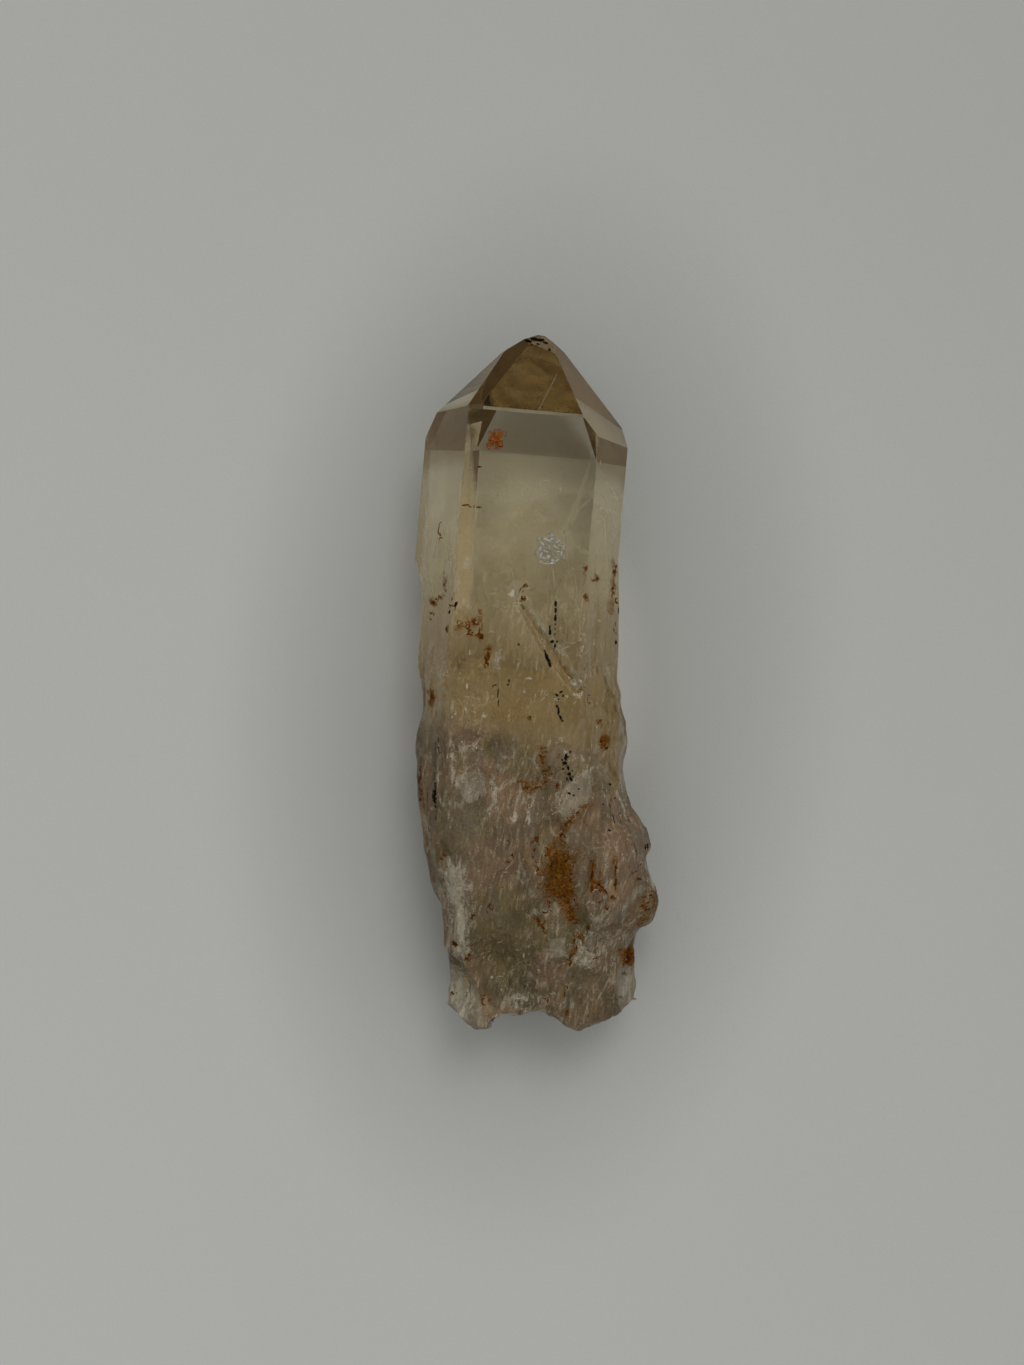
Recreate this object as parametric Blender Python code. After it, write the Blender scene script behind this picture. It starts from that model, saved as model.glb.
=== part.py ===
"""A citrine crystal that lies on one of its six prism faces.

The upper half is a clean six-sided prism with flat faces, and it ends in a six-faced point at +Y. The
lower half is broken and lumpy: it swells into a lobe on the right, and its end is a fracture between two
lumps. X runs across the crystal, Y along its axis towards the point, and Z up from the resting face.
Sizes are in millimetres up to the last step, which writes metres.
"""

import math
import random

import bmesh
import bpy
import numpy as np
from mathutils import Vector

METRES = 0.001
CLOSE = 0.01
CUT_MARGIN = 0.0001
NAME = "citrine_crystal"

# Prism: where its long edges stand in the clean upper half
DEPTH = 24.5
FRONT_LEFT_X = -12.95
FRONT_RIGHT_X = 5.35
LEFT_X = -19.25
RIGHT_X = 9.95
SLOPE = math.tan(math.radians(60))
LEFT_Z = DEPTH - SLOPE * (FRONT_LEFT_X - LEFT_X)
RIGHT_Z = DEPTH - SLOPE * (RIGHT_X - FRONT_RIGHT_X)
BACK_LEFT_X = LEFT_X + LEFT_Z / SLOPE
# The back face reaches as far right as the front one, so its right neighbour is steeper than 60 degrees
BACK_RIGHT_X = 6.2

# Point: the angle of its faces to the crystal's axis, and where each one leaves its prism face
POINT_ANGLE = math.radians(38.2)
POINT_STARTS = {0: 37.05, 60: 34.6, 120: 39.6, 180: 33.55, 240: 34.1, 300: 37.4}
TIP_CHIPS = (
    ((-4.2, 49.55, 14.2), (0.1, 0.75, 0.65)),
    ((-2.0, 49.35, 14.0), (0.55, 0.8, 0.1)),
    ((-6.7, 49.0, 14.0), (-0.6, 0.78, 0.12)),
)

# Rows along the crystal
BEYOND_POINT = 53.0
RELIEF_TOP = 27.0
END_ZONE = -41.0
ROW = 1.2
END_ROWS = 6
CAP_RINGS = 7
COLUMNS = (20, 9, 9, 8, 8, 12)

# The six long edges in the broken half: places along Y, then X and Z there
EDGES_Y = (16, 0, -15, -24, -31, -38, -50)
FRONT_LEFT = (
    (-12.95, DEPTH), (-13.1, 24.4), (-13.0, 24.5), (-11.7, 24.2), (-10.3, 23.0), (-9.0, 21.1), (-6.4, 17.3),
)
FRONT_RIGHT = (
    (5.35, DEPTH), (6.4, 24.5), (9.0, 25.1), (11.6, 25.6), (12.8, 24.3), (12.8, 21.5), (11.6, 17.0),
)
RIGHT_Z_BELOW = (RIGHT_Z, 15.4, 14.4, 13.9, 13.4, 12.4, 10.7)
LEFT_Z_BELOW = (LEFT_Z, 13.5, 13.6, 13.6, 13.4, 12.4, 10.9)
BACK_RIGHT = ((BACK_RIGHT_X, 0), (7.2, 0), (9.2, 0), (11.6, 0), (12.8, 0), (12.6, 0), (11.6, 0.8))
BACK_LEFT = ((BACK_LEFT_X, 0), (-10.9, 0), (-9.2, 0), (-6.9, 0), (-5.2, 0), (-4.3, 0), (-3.2, 0.8))

# Outline seen from above: Y, then X
LEFT_OUTLINE = (
    (16.3, LEFT_X), (13.4, -18.3), (12.3, -17.9), (5.4, -17.8), (0.3, -17.8), (-2.6, -17.3), (-6.2, -16.7),
    (-9.8, -16.9), (-16.0, -16.4), (-21.4, -15.5), (-25.7, -14.3), (-30.3, -13.0), (-33.2, -11.3),
    (-38.6, -10.5), (-42.6, -9.8), (-50.0, -9.3),
)
RIGHT_OUTLINE = (
    (18.5, RIGHT_X), (14.3, 10.5), (7.1, 11.4), (1.4, 11.7), (-1.7, 12.6), (-4.5, 14.1), (-7.1, 14.2),
    (-10.7, 13.5), (-14.3, 14.2), (-17.3, 15.6), (-19.8, 18.0), (-22.3, 19.2), (-24.1, 18.4), (-26.8, 19.2),
    (-29.7, 20.4), (-32.8, 20.1), (-34.8, 18.3), (-37.1, 17.8), (-42.8, 18.8), (-50.0, 18.6),
)
# Lower end seen from above: X, then Y
END_OUTLINE = (
    (-9.2, -47.8), (-7.1, -50.5), (-4.8, -51.8), (-2.7, -51.4), (-2.1, -50.0), (0.9, -49.5), (4.4, -48.7),
    (6.6, -49.1), (8.2, -50.1), (10.4, -50.7), (12.8, -49.2), (15.2, -47.4), (18.2, -45.8),
)
END_FAR_Z = 13.8
END_ROUND_ABOVE = 0.09
END_ROUND_BELOW = 0.024
CAP_CENTRE = (3.8, 9.6)
CAP_HOLLOW = 1.6

# Wear of the long edges, from nothing at its top to the most at its bottom, and little near the base
WEAR_TOP = 2.0
WEAR_BOTTOM = -20.0
WEAR_MOST = 0.5
WEAR_FULL_Z = 8.0
ROUNDING_PASSES = 14

# How far points slip along the broken surface, so that its small faces aren't in straight rows
UNEVEN_SEED = 5
UNEVEN = 0.38
UNEVEN_TOP = 18.0
UNEVEN_BOTTOM = 8.0

# Hollows broken out of the front: X, Y, half width, half length, turn in degrees, depth
HOLLOWS = (
    (6.0, -27.5, 2.8, 6.0, 16, 1.5),
    (-1.6, -42.5, 5.4, 6.4, 0, 1.7),
    (11.0, -43.4, 3.5, 4.0, 20, 1.3),
    (-7.4, -15.6, 3.6, 2.9, -10, 0.8),
    (-3.0, -29.0, 3.2, 5.0, 8, 0.6),
    (-8.6, -45.0, 3.4, 3.6, -30, 1.4),
    (2.0, -12.5, 2.6, 3.6, 10, 0.5),
    (14.6, -39.0, 2.4, 3.4, 0, 0.9),
    (3.2, -19.6, 2.0, 3.0, -25, 0.6),
    (10.2, -8.6, 1.9, 3.4, 8, 0.4),
)
# Lumps that stand out of the front: X, Y, half width, half length, turn in degrees, height
LUMPS = (
    (7.4, -14.6, 2.4, 4.2, -24, 0.6),
    (10.2, -26.0, 1.6, 8.0, 8, 0.9),
    (16.4, -28.2, 3.2, 5.4, -12, 0.7),
    (-9.6, -30.0, 1.8, 7.0, 10, 0.7),
    (-5.4, -48.2, 3.4, 2.6, 0, 0.7),
    (4.0, -35.5, 2.6, 3.4, 0, 0.5),
    (11.4, -2.0, 2.2, 5.0, 4, 0.3),
)
# Grooves: half width, depth, then the line that they follow in X and Y
GROOVES = (
    (0.8, 0.45, ((-4.4, 12.6), (0.3, 5.9), (5.4, -0.3), (6.4, 2.6))),
    (0.8, 0.7, ((-13.4, -2.0), (-13.5, -11.9), (-13.0, -18.2), (-11.2, -27.0))),
    (0.7, 0.5, ((2.9, -8.0), (5.0, -17.0), (3.6, -22.0))),
    (0.8, 0.6, ((8.6, -17.0), (9.0, -24.0), (8.2, -33.0))),
    (0.7, 0.4, ((-14.6, 20.4), (-15.2, 14.0), (-14.8, 5.0), (-15.4, -4.0))),
    (0.6, 0.4, ((7.0, 19.0), (7.6, 8.0), (8.6, -4.0))),
)
# Ledges: the two ends of each, the drop below it and how far down that drop fades out
LEDGES = (
    ((-14.0, -7.4), (1.8, -8.8), 0.6, 9.0),
    ((7.6, -33.0), (19.0, -34.6), 1.2, 14.0),
    ((-9.8, -39.0), (-2.6, -48.6), 1.5, 8.0),
    ((-19.0, -12.0), (-13.6, -9.8), 0.5, 12.0),
    ((9.0, -12.6), (16.0, -16.2), 0.5, 9.0),
)
LEDGE_STEP = 0.9

# Ribs that fan out over the lobe: where they spread from, and the stretch of the lobe that has them
FAN_X = 8.0
FAN_Y = -2.0
FAN_RIBS = 46
FAN_HEIGHT = 0.3
FAN_LEFT = 7.5
FAN_TOP = -12.0
FAN_BOTTOM = -36.0
FAN_TOP_FADE = 6.0
FAN_FADE = 3.0

# Low ridges along the middle of the crystal, which lean with it and wander: swing, length, start
RIDGES_ROUND = 15
RIDGE_PATCHES = 4.0
RIDGE_HEIGHT = 0.3
RIDGE_LEAN = 0.04
RIDGE_LEAN_TOP = 16.0
RIDGE_WANDER = ((0.35, 3.1, 0.0), (0.2, 1.3, 1.0))
RIDGE_PATCH_LENGTH = 11.0

# Shell-shaped chips scattered over the broken half, thicker towards the lower end
CHIP_SEED = 17
CHIPS = 130
CHIP_TOP = 9.0
CHIP_SPREAD = 40.0
CHIP_LEAST_CHANCE = 0.12
CHIP_RADIUS = (2.4, 5.6)
CHIP_DEPTH = (0.13, 0.26)
CHIP_GROWTH = 1.4

# Where the surface turns from clean to broken: the front keeps its flat face farther down than the sides
FRONT_BREAK_TOP = -5.0
FRONT_BREAK_LENGTH = 7.0
FRONT_BREAK_MOST = 0.7
SIDE_BREAK_TOP = 8.0
SIDE_BREAK_LENGTH = 16.0
FRONT_FACING = (0.75, 0.95)
UPPER_SIDE = (-0.15, 0.25)
OUTLINE_CHIPS = 0.25
OUTLINE_FACING = 0.6

# Middle of the flat strip that the crystal rests on: Y, then X
RESTING_STRIP = ((30.0, -5.5), (0.0, -4.1), (-38.0, 4.0))
RESTING_HALF_WIDTH = 3.0


def smooth(share):
    """A soft step from 0 to 1."""
    share = min(max(share, 0.0), 1.0)
    return share * share * (3.0 - 2.0 * share)


def bowl(share):
    """A round hollow's depth from its middle, 1, to its sharp rim, 0."""
    return max(0.0, 1.0 - share * share)


def table(pairs, place):
    """Reads a list of (place, value) pairs, which runs either way."""
    places, values = zip(*sorted(pairs))
    return float(np.interp(place, places, values))


def edge_points(y):
    """The six corners of the cross-section at y, clockwise from the front left edge, seen from the point."""

    def at(values):
        return table(tuple(zip(EDGES_Y, values)), y)

    front_left = (at([x for x, _ in FRONT_LEFT]), at([z for _, z in FRONT_LEFT]))
    front_right = (at([x for x, _ in FRONT_RIGHT]), at([z for _, z in FRONT_RIGHT]))
    right = (table(RIGHT_OUTLINE, y), at(RIGHT_Z_BELOW))
    back_right = (at([x for x, _ in BACK_RIGHT]), at([z for _, z in BACK_RIGHT]))
    back_left = (at([x for x, _ in BACK_LEFT]), at([z for _, z in BACK_LEFT]))
    left = (table(LEFT_OUTLINE, y), at(LEFT_Z_BELOW))
    return (front_left, front_right, right, back_right, back_left, left)


def rounded(points, y):
    """Wears down the long edges of a cross-section, more and more towards the lower end."""
    wear = WEAR_MOST * smooth((WEAR_TOP - y) / (WEAR_TOP - WEAR_BOTTOM))
    for _ in range(ROUNDING_PASSES if wear else 0):
        before = points[-1:] + points[:-1]
        after = points[1:] + points[:1]
        worn = []
        for last, here, following in zip(before, points, after):
            share = wear * smooth(here[1] / WEAR_FULL_Z)
            worn.append(tuple(b + share * (0.5 * (a + c) - b) for a, b, c in zip(last, here, following)))
        points = worn
    return points


def cross_section(y):
    """The points around the cross-section at y, each side split into its columns."""
    corners = edge_points(y)
    points = []
    for side, columns in enumerate(COLUMNS):
        start = corners[side]
        stop = corners[(side + 1) % len(corners)]
        for step in range(columns):
            share = step / columns
            points.append(tuple(a + (b - a) * share for a, b in zip(start, stop)))
    points = rounded(points, y)
    least = min(x for x, _ in points)
    most = max(x for x, _ in points)
    left = table(LEFT_OUTLINE, y)
    stretch = (table(RIGHT_OUTLINE, y) - left) / (most - least)
    return [(left + (x - least) * stretch, z) for x, z in points]


def end_y(x, z):
    """Where the crystal's lower end is, for a place on its cross-section."""
    above = max(0.0, z - END_FAR_Z) ** 2 * END_ROUND_ABOVE
    below = max(0.0, END_FAR_Z - z) ** 2 * END_ROUND_BELOW
    return table(END_OUTLINE, x) + above + below


def rows():
    """Every ring of the side wall from beyond the point down to the lower end, as lists of points."""
    count = round((RELIEF_TOP - END_ZONE) / ROW)
    rings = [[(x, BEYOND_POINT, z) for x, z in cross_section(BEYOND_POINT)]]
    for step in range(count + 1):
        y = RELIEF_TOP + (END_ZONE - RELIEF_TOP) * step / count
        rings.append([(x, y, z) for x, z in cross_section(y)])
    for step in range(1, END_ROWS + 1):
        share = step / END_ROWS
        ring = []
        for x, z in cross_section(END_ZONE + (END_OUTLINE[0][1] - END_ZONE) * share):
            ring.append((x, END_ZONE + (end_y(x, z) - END_ZONE) * share, z))
        rings.append(ring)
    return rings


def cap_rings(last):
    """The rings of the broken end, which close in on its middle."""
    centre_x, centre_z = CAP_CENTRE
    rings = []
    for step in range(1, CAP_RINGS):
        share = 1.0 - step / CAP_RINGS
        ring = []
        for x, _, z in last:
            at_x = centre_x + (x - centre_x) * share
            at_z = centre_z + (z - centre_z) * share
            ring.append((at_x, end_y(at_x, at_z) + CAP_HOLLOW * bowl(share), at_z))
        rings.append(ring)
    return rings


def base_body():
    """The closed body before any relief: straight prism above, measured outline below."""
    body = bmesh.new()
    rings = rows()
    rings += cap_rings(rings[-1])
    made = [[body.verts.new(point) for point in ring] for ring in rings]
    around = len(made[0])
    for upper, lower in zip(made, made[1:]):
        for column in range(around):
            beside = (column + 1) % around
            body.faces.new((upper[column], lower[column], lower[beside], upper[beside]))
    body.faces.new(made[0])
    centre_x, centre_z = CAP_CENTRE
    middle = body.verts.new((centre_x, end_y(centre_x, centre_z) + CAP_HOLLOW, centre_z))
    for column in range(around):
        body.faces.new((made[-1][(column + 1) % around], made[-1][column], middle))
    body.normal_update()
    draw = random.Random(UNEVEN_SEED)
    for vert in body.verts:
        slip = Vector(draw.uniform(-UNEVEN, UNEVEN) for _ in range(3))
        share = smooth((UNEVEN_TOP - vert.co.y) / (UNEVEN_TOP - UNEVEN_BOTTOM))
        vert.co += (slip - vert.normal * slip.dot(vert.normal)) * share
    return body


def distance_to_line(x, y, line):
    """How far a place on the front is from a line of several points."""
    nearest = math.inf
    for (ax, ay), (bx, by) in zip(line, line[1:]):
        along_x = bx - ax
        along_y = by - ay
        share = ((x - ax) * along_x + (y - ay) * along_y) / (along_x**2 + along_y**2)
        share = min(max(share, 0.0), 1.0)
        nearest = min(nearest, math.hypot(x - ax - share * along_x, y - ay - share * along_y))
    return nearest


def turned_share(x, y, feature):
    """How far out a place is in a turned oval, from 0 in its middle to 1 at its rim."""
    centre_x, centre_y, half_width, half_length, turn, _ = feature
    cosine = math.cos(math.radians(turn))
    sine = math.sin(math.radians(turn))
    across = (x - centre_x) * cosine - (y - centre_y) * sine
    along = (x - centre_x) * sine + (y - centre_y) * cosine
    return math.hypot(across / half_width, along / half_length)


def ledge_drop(x, y, ledge):
    """How far the surface drops below a ledge: sharply at its line, and fading out farther down."""
    (ax, ay), (bx, by), drop, fade = ledge
    length = math.hypot(bx - ax, by - ay)
    along = ((x - ax) * (bx - ax) + (y - ay) * (by - ay)) / length
    below = ((x - ax) * (by - ay) - (y - ay) * (bx - ax)) / length
    ends = smooth((along + 1.0) / 2.0) * smooth((length + 1.0 - along) / 2.0)
    return -drop * ends * smooth(below / LEDGE_STEP) * (1.0 - smooth(below / fade))


def front_relief(x, y):
    """Everything on the upper side that was placed by hand, as a height over the plain surface."""
    height = 0.0
    for hollow in HOLLOWS:
        height -= hollow[-1] * bowl(turned_share(x, y, hollow))
    for lump in LUMPS:
        height += lump[-1] * smooth(1.0 - turned_share(x, y, lump))
    for half_width, depth, line in GROOVES:
        height -= depth * max(0.0, 1.0 - distance_to_line(x, y, line) / half_width)
    for ledge in LEDGES:
        height += ledge_drop(x, y, ledge)
    return height


def fan_ribs(x, y):
    """Ribs that spread from the middle of the crystal over the lobe."""
    inside = smooth((FAN_TOP - y) / FAN_TOP_FADE) * smooth((y - FAN_BOTTOM) / FAN_FADE)
    inside *= smooth((x - FAN_LEFT) / FAN_FADE)
    heading = math.atan2(x - FAN_X, FAN_Y - y)
    return inside * FAN_HEIGHT * (2.0 * abs((heading * FAN_RIBS / math.pi) % 1.0 - 0.5) - 0.5)


def long_ridges(x, y, z):
    """Low ridges along the crystal, in patches that die away into each other."""
    middle = 0.5 * (LEFT_X + RIGHT_X) + RIDGE_LEAN * (RIDGE_LEAN_TOP - y)
    heading = math.atan2(x - middle, z - 0.5 * DEPTH)
    wander = sum(swing * math.sin(y / length + start) for swing, length, start in RIDGE_WANDER)
    patch = math.sin(heading * RIDGE_PATCHES + y / RIDGE_PATCH_LENGTH)
    return RIDGE_HEIGHT * math.sin(heading * RIDGES_ROUND + wander) * patch


def chip_list(body):
    """Places, sizes and depths of the shell-shaped chips, thicker towards the lower end."""
    draw = random.Random(CHIP_SEED)
    places = sorted(
        (vert.co.copy() for vert in body.verts if vert.co.y < CHIP_TOP),
        key=lambda place: (round(place.y, 3), round(place.x, 3), round(place.z, 3)),
    )
    chips = []
    while len(chips) < CHIPS:
        place = draw.choice(places)
        if draw.random() < smooth((CHIP_TOP - place.y) / CHIP_SPREAD) + CHIP_LEAST_CHANCE:
            radius = draw.uniform(*CHIP_RADIUS)
            chips.append((place, radius, radius * draw.uniform(*CHIP_DEPTH)))
    return chips


def chip_depth(place, chips):
    """The deepest chip over a place."""
    deepest = 0.0
    for centre, radius, depth in chips:
        deepest = max(deepest, depth * bowl(min((place - centre).length / radius, 1.0)))
    return deepest


def step_between(value, ends):
    """A soft step from 0 to 1 as a value goes from one end to the other."""
    return smooth((value - ends[0]) / (ends[1] - ends[0]))


def brokenness(y, facing_up):
    """How broken the surface is at y, where it faces up by that much."""
    on_front = step_between(facing_up, FRONT_FACING)
    front = FRONT_BREAK_MOST * smooth((FRONT_BREAK_TOP - y) / FRONT_BREAK_LENGTH)
    sides = smooth((SIDE_BREAK_TOP - y) / SIDE_BREAK_LENGTH)
    return on_front * front + (1.0 - on_front) * sides


def is_resting_strip(place):
    """True on the strip of the back face that carries the crystal."""
    if place.z > CLOSE or place.y < RESTING_STRIP[-1][0]:
        return False
    return abs(place.x - table(RESTING_STRIP, place.y)) < RESTING_HALF_WIDTH


def add_relief(body):
    """Breaks up the lower half: hollows, lumps, grooves, ledges, ribs and chips."""
    chips = chip_list(body)
    moves = {}
    for vert in body.verts:
        x, y, z = vert.co
        if y > RELIEF_TOP - CLOSE or is_resting_strip(vert.co):
            continue
        broken = brokenness(y, vert.normal.z)
        height = step_between(vert.normal.z, UPPER_SIDE) * (front_relief(x, y) + fan_ribs(x, y))
        height += broken * long_ridges(x, y, z)
        off_outline = smooth(abs(vert.normal.z) / OUTLINE_FACING)
        share = min(1.0, CHIP_GROWTH * broken) * (OUTLINE_CHIPS + (1.0 - OUTLINE_CHIPS) * off_outline)
        height -= share * chip_depth(vert.co, chips)
        moves[vert] = vert.normal * height
    for vert, move in moves.items():
        vert.co += move
        vert.co.z = max(vert.co.z, 0.0)


def cut_off(body, place, outward):
    """Removes what stands beyond a plane, and closes the cut with one flat face."""
    everything = body.verts[:] + body.edges[:] + body.faces[:]
    cut = bmesh.ops.bisect_plane(
        body, geom=everything, dist=CUT_MARGIN, plane_co=place, plane_no=outward, clear_outer=True
    )
    rim = [item for item in cut["geom_cut"] if isinstance(item, bmesh.types.BMEdge)]
    bmesh.ops.contextual_create(body, geom=rim)


def prism_face(heading):
    """A point on a prism face and the face's outward direction, by its heading round the axis."""
    outward = Vector((math.sin(math.radians(heading)), 0.0, math.cos(math.radians(heading))))
    on_face = {
        0: (FRONT_LEFT_X, DEPTH),
        60: (FRONT_RIGHT_X, DEPTH),
        120: (RIGHT_X, RIGHT_Z),
        180: (BACK_LEFT_X, 0.0),
        240: (LEFT_X, LEFT_Z),
        300: (LEFT_X, LEFT_Z),
    }[heading]
    return Vector((on_face[0], 0.0, on_face[1])), outward


def cut_point(body):
    """Cuts the six faces of the point and the small chips at its tip."""
    for heading, start in POINT_STARTS.items():
        place, outward = prism_face(heading)
        place.y = start
        leaning = outward * math.cos(POINT_ANGLE) + Vector((0.0, math.sin(POINT_ANGLE), 0.0))
        cut_off(body, place, leaning)
    for place, outward in TIP_CHIPS:
        cut_off(body, Vector(place), Vector(outward).normalized())


def crystal_material():
    """Pale smoky yellow quartz, clear and glossy."""
    material = bpy.data.materials.new("clear_citrine")
    material.use_nodes = True
    shader = material.node_tree.nodes["Principled BSDF"]
    shader.inputs["Base Color"].default_value = (0.62, 0.5, 0.33, 1.0)
    shader.inputs["Roughness"].default_value = 0.08
    shader.inputs["Metallic"].default_value = 0.0
    shader.inputs["Transmission Weight"].default_value = 0.8
    shader.inputs["IOR"].default_value = 1.545
    return material


def move_to_origin(body):
    """Puts the middle of the crystal's box over the origin, with its lowest point at zero."""
    for axis in range(3):
        places = [vert.co[axis] for vert in body.verts]
        middle = 0.5 * (min(places) + max(places)) if axis < 2 else min(places)
        for vert in body.verts:
            vert.co[axis] -= middle


def build():
    """Makes the crystal as one closed body."""
    for old in list(bpy.data.objects):
        bpy.data.objects.remove(old)
    body = base_body()
    add_relief(body)
    cut_point(body)
    move_to_origin(body)
    bmesh.ops.triangulate(body, faces=body.faces[:])
    bmesh.ops.recalc_face_normals(body, faces=body.faces[:])
    bmesh.ops.scale(body, vec=(METRES, METRES, METRES), verts=body.verts[:])
    mesh = bpy.data.meshes.new(NAME)
    body.to_mesh(mesh)
    body.free()
    mesh.materials.append(crystal_material())
    crystal = bpy.data.objects.new(NAME, mesh)
    bpy.context.scene.collection.objects.link(crystal)


build()
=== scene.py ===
"""Looks of a citrine crystal that lies on a sheet of pale paper.

The crystal is clear, pale smoky yellow quartz in its upper half. Below a wavy boundary it is milky,
fractured and iron-stained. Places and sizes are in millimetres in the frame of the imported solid: X
across, Y along the crystal towards its point, Z up from the paper. They become metres as the meshes
are made.
"""

import logging
import math
import random
from dataclasses import dataclass, field
from enum import Enum
from typing import Any, Iterable, Sequence

import bmesh
import bpy
import numpy as np
from mathutils import Matrix, Vector, noise
from mathutils.bvhtree import BVHTree


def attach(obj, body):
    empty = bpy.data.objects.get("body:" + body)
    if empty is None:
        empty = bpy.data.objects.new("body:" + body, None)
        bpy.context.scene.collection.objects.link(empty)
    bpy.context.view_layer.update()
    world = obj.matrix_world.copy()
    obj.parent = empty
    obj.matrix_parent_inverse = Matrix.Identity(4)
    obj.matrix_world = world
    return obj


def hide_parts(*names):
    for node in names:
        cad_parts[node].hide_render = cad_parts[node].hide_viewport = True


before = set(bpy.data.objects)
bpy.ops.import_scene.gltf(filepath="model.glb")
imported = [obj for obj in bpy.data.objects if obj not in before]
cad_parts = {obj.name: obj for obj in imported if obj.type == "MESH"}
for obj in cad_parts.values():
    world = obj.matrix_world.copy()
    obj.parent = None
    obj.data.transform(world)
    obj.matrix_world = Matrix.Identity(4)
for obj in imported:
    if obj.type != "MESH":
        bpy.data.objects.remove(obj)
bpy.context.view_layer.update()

LOG = logging.getLogger("citrine")
MM = 0.001
FULL_TURN = 2.0 * math.pi
HIGH_ABOVE_MM = 60.0
WELD_MM = 0.002
NODE = "citrine_crystal"
BODY = "root"
MIX_FACTOR, MIX_LOW, MIX_HIGH, MIX_RESULT = 0, 6, 7, 2
MIDDLE = (0.5, 0.5, 0.5)

Spot = tuple[float, float]
Point = tuple[float, float, float]
Colour = tuple[float, float, float]
Face = tuple[int, ...]
Socket = bpy.types.NodeSocket
Body = bmesh.types.BMesh


def between(value: float, start: float, end: float) -> float:
    """A soft step from 0 to 1 as a value goes from start to end."""
    share = min(max((value - start) / (end - start), 0.0), 1.0)
    return share * share * (3.0 - 2.0 * share)


class Value:
    """A number that varies over a surface, so that shader maths is written as Python expressions."""

    def __init__(self, tree: bpy.types.NodeTree, socket: Socket) -> None:
        """Wraps an output socket of a node tree."""
        self.tree = tree
        self.socket = socket

    def maths(self, operation: str, *terms: "Value | float", clamp: bool = False) -> "Value":
        """Adds one Math node.

        Args:
            operation: The node's operation.
            terms: Its inputs in order.
            clamp: Whether the result is held between 0 and 1.

        Returns:
            The node's result.
        """
        node = self.tree.nodes.new("ShaderNodeMath")
        node.operation = operation
        node.use_clamp = clamp
        for place, term in enumerate(terms):
            if isinstance(term, Value):
                self.tree.links.new(term.socket, node.inputs[place])
            else:
                node.inputs[place].default_value = term
        return Value(self.tree, node.outputs[0])

    def __add__(self, other: "Value | float") -> "Value":
        """self + other."""
        return self.maths("ADD", self, other)

    def __sub__(self, other: "Value | float") -> "Value":
        """self - other."""
        return self.maths("SUBTRACT", self, other)

    def __rsub__(self, other: float) -> "Value":
        """other - self."""
        return self.maths("SUBTRACT", other, self)

    def __mul__(self, other: "Value | float") -> "Value":
        """self * other."""
        return self.maths("MULTIPLY", self, other)

    __radd__ = __add__
    __rmul__ = __mul__

    def __neg__(self) -> "Value":
        """-self."""
        return self * -1.0

    def __abs__(self) -> "Value":
        """abs(self)."""
        return self.maths("ABSOLUTE", self)

    def most(self, other: "Value | float") -> "Value":
        """The larger of two values."""
        return self.maths("MAXIMUM", self, other)

    def least(self, other: "Value | float") -> "Value":
        """The smaller of two values."""
        return self.maths("MINIMUM", self, other)

    def held(self) -> "Value":
        """The value held between 0 and 1."""
        return self.maths("ADD", self, 0.0, clamp=True)

    def step(self, start: float, end: float) -> "Value":
        """A soft step from 0 to 1 as the value goes from start to end, which may be below start."""
        share = self.maths("DIVIDE", self - start, end - start, clamp=True)
        return share * share * (3.0 - 2.0 * share)


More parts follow.
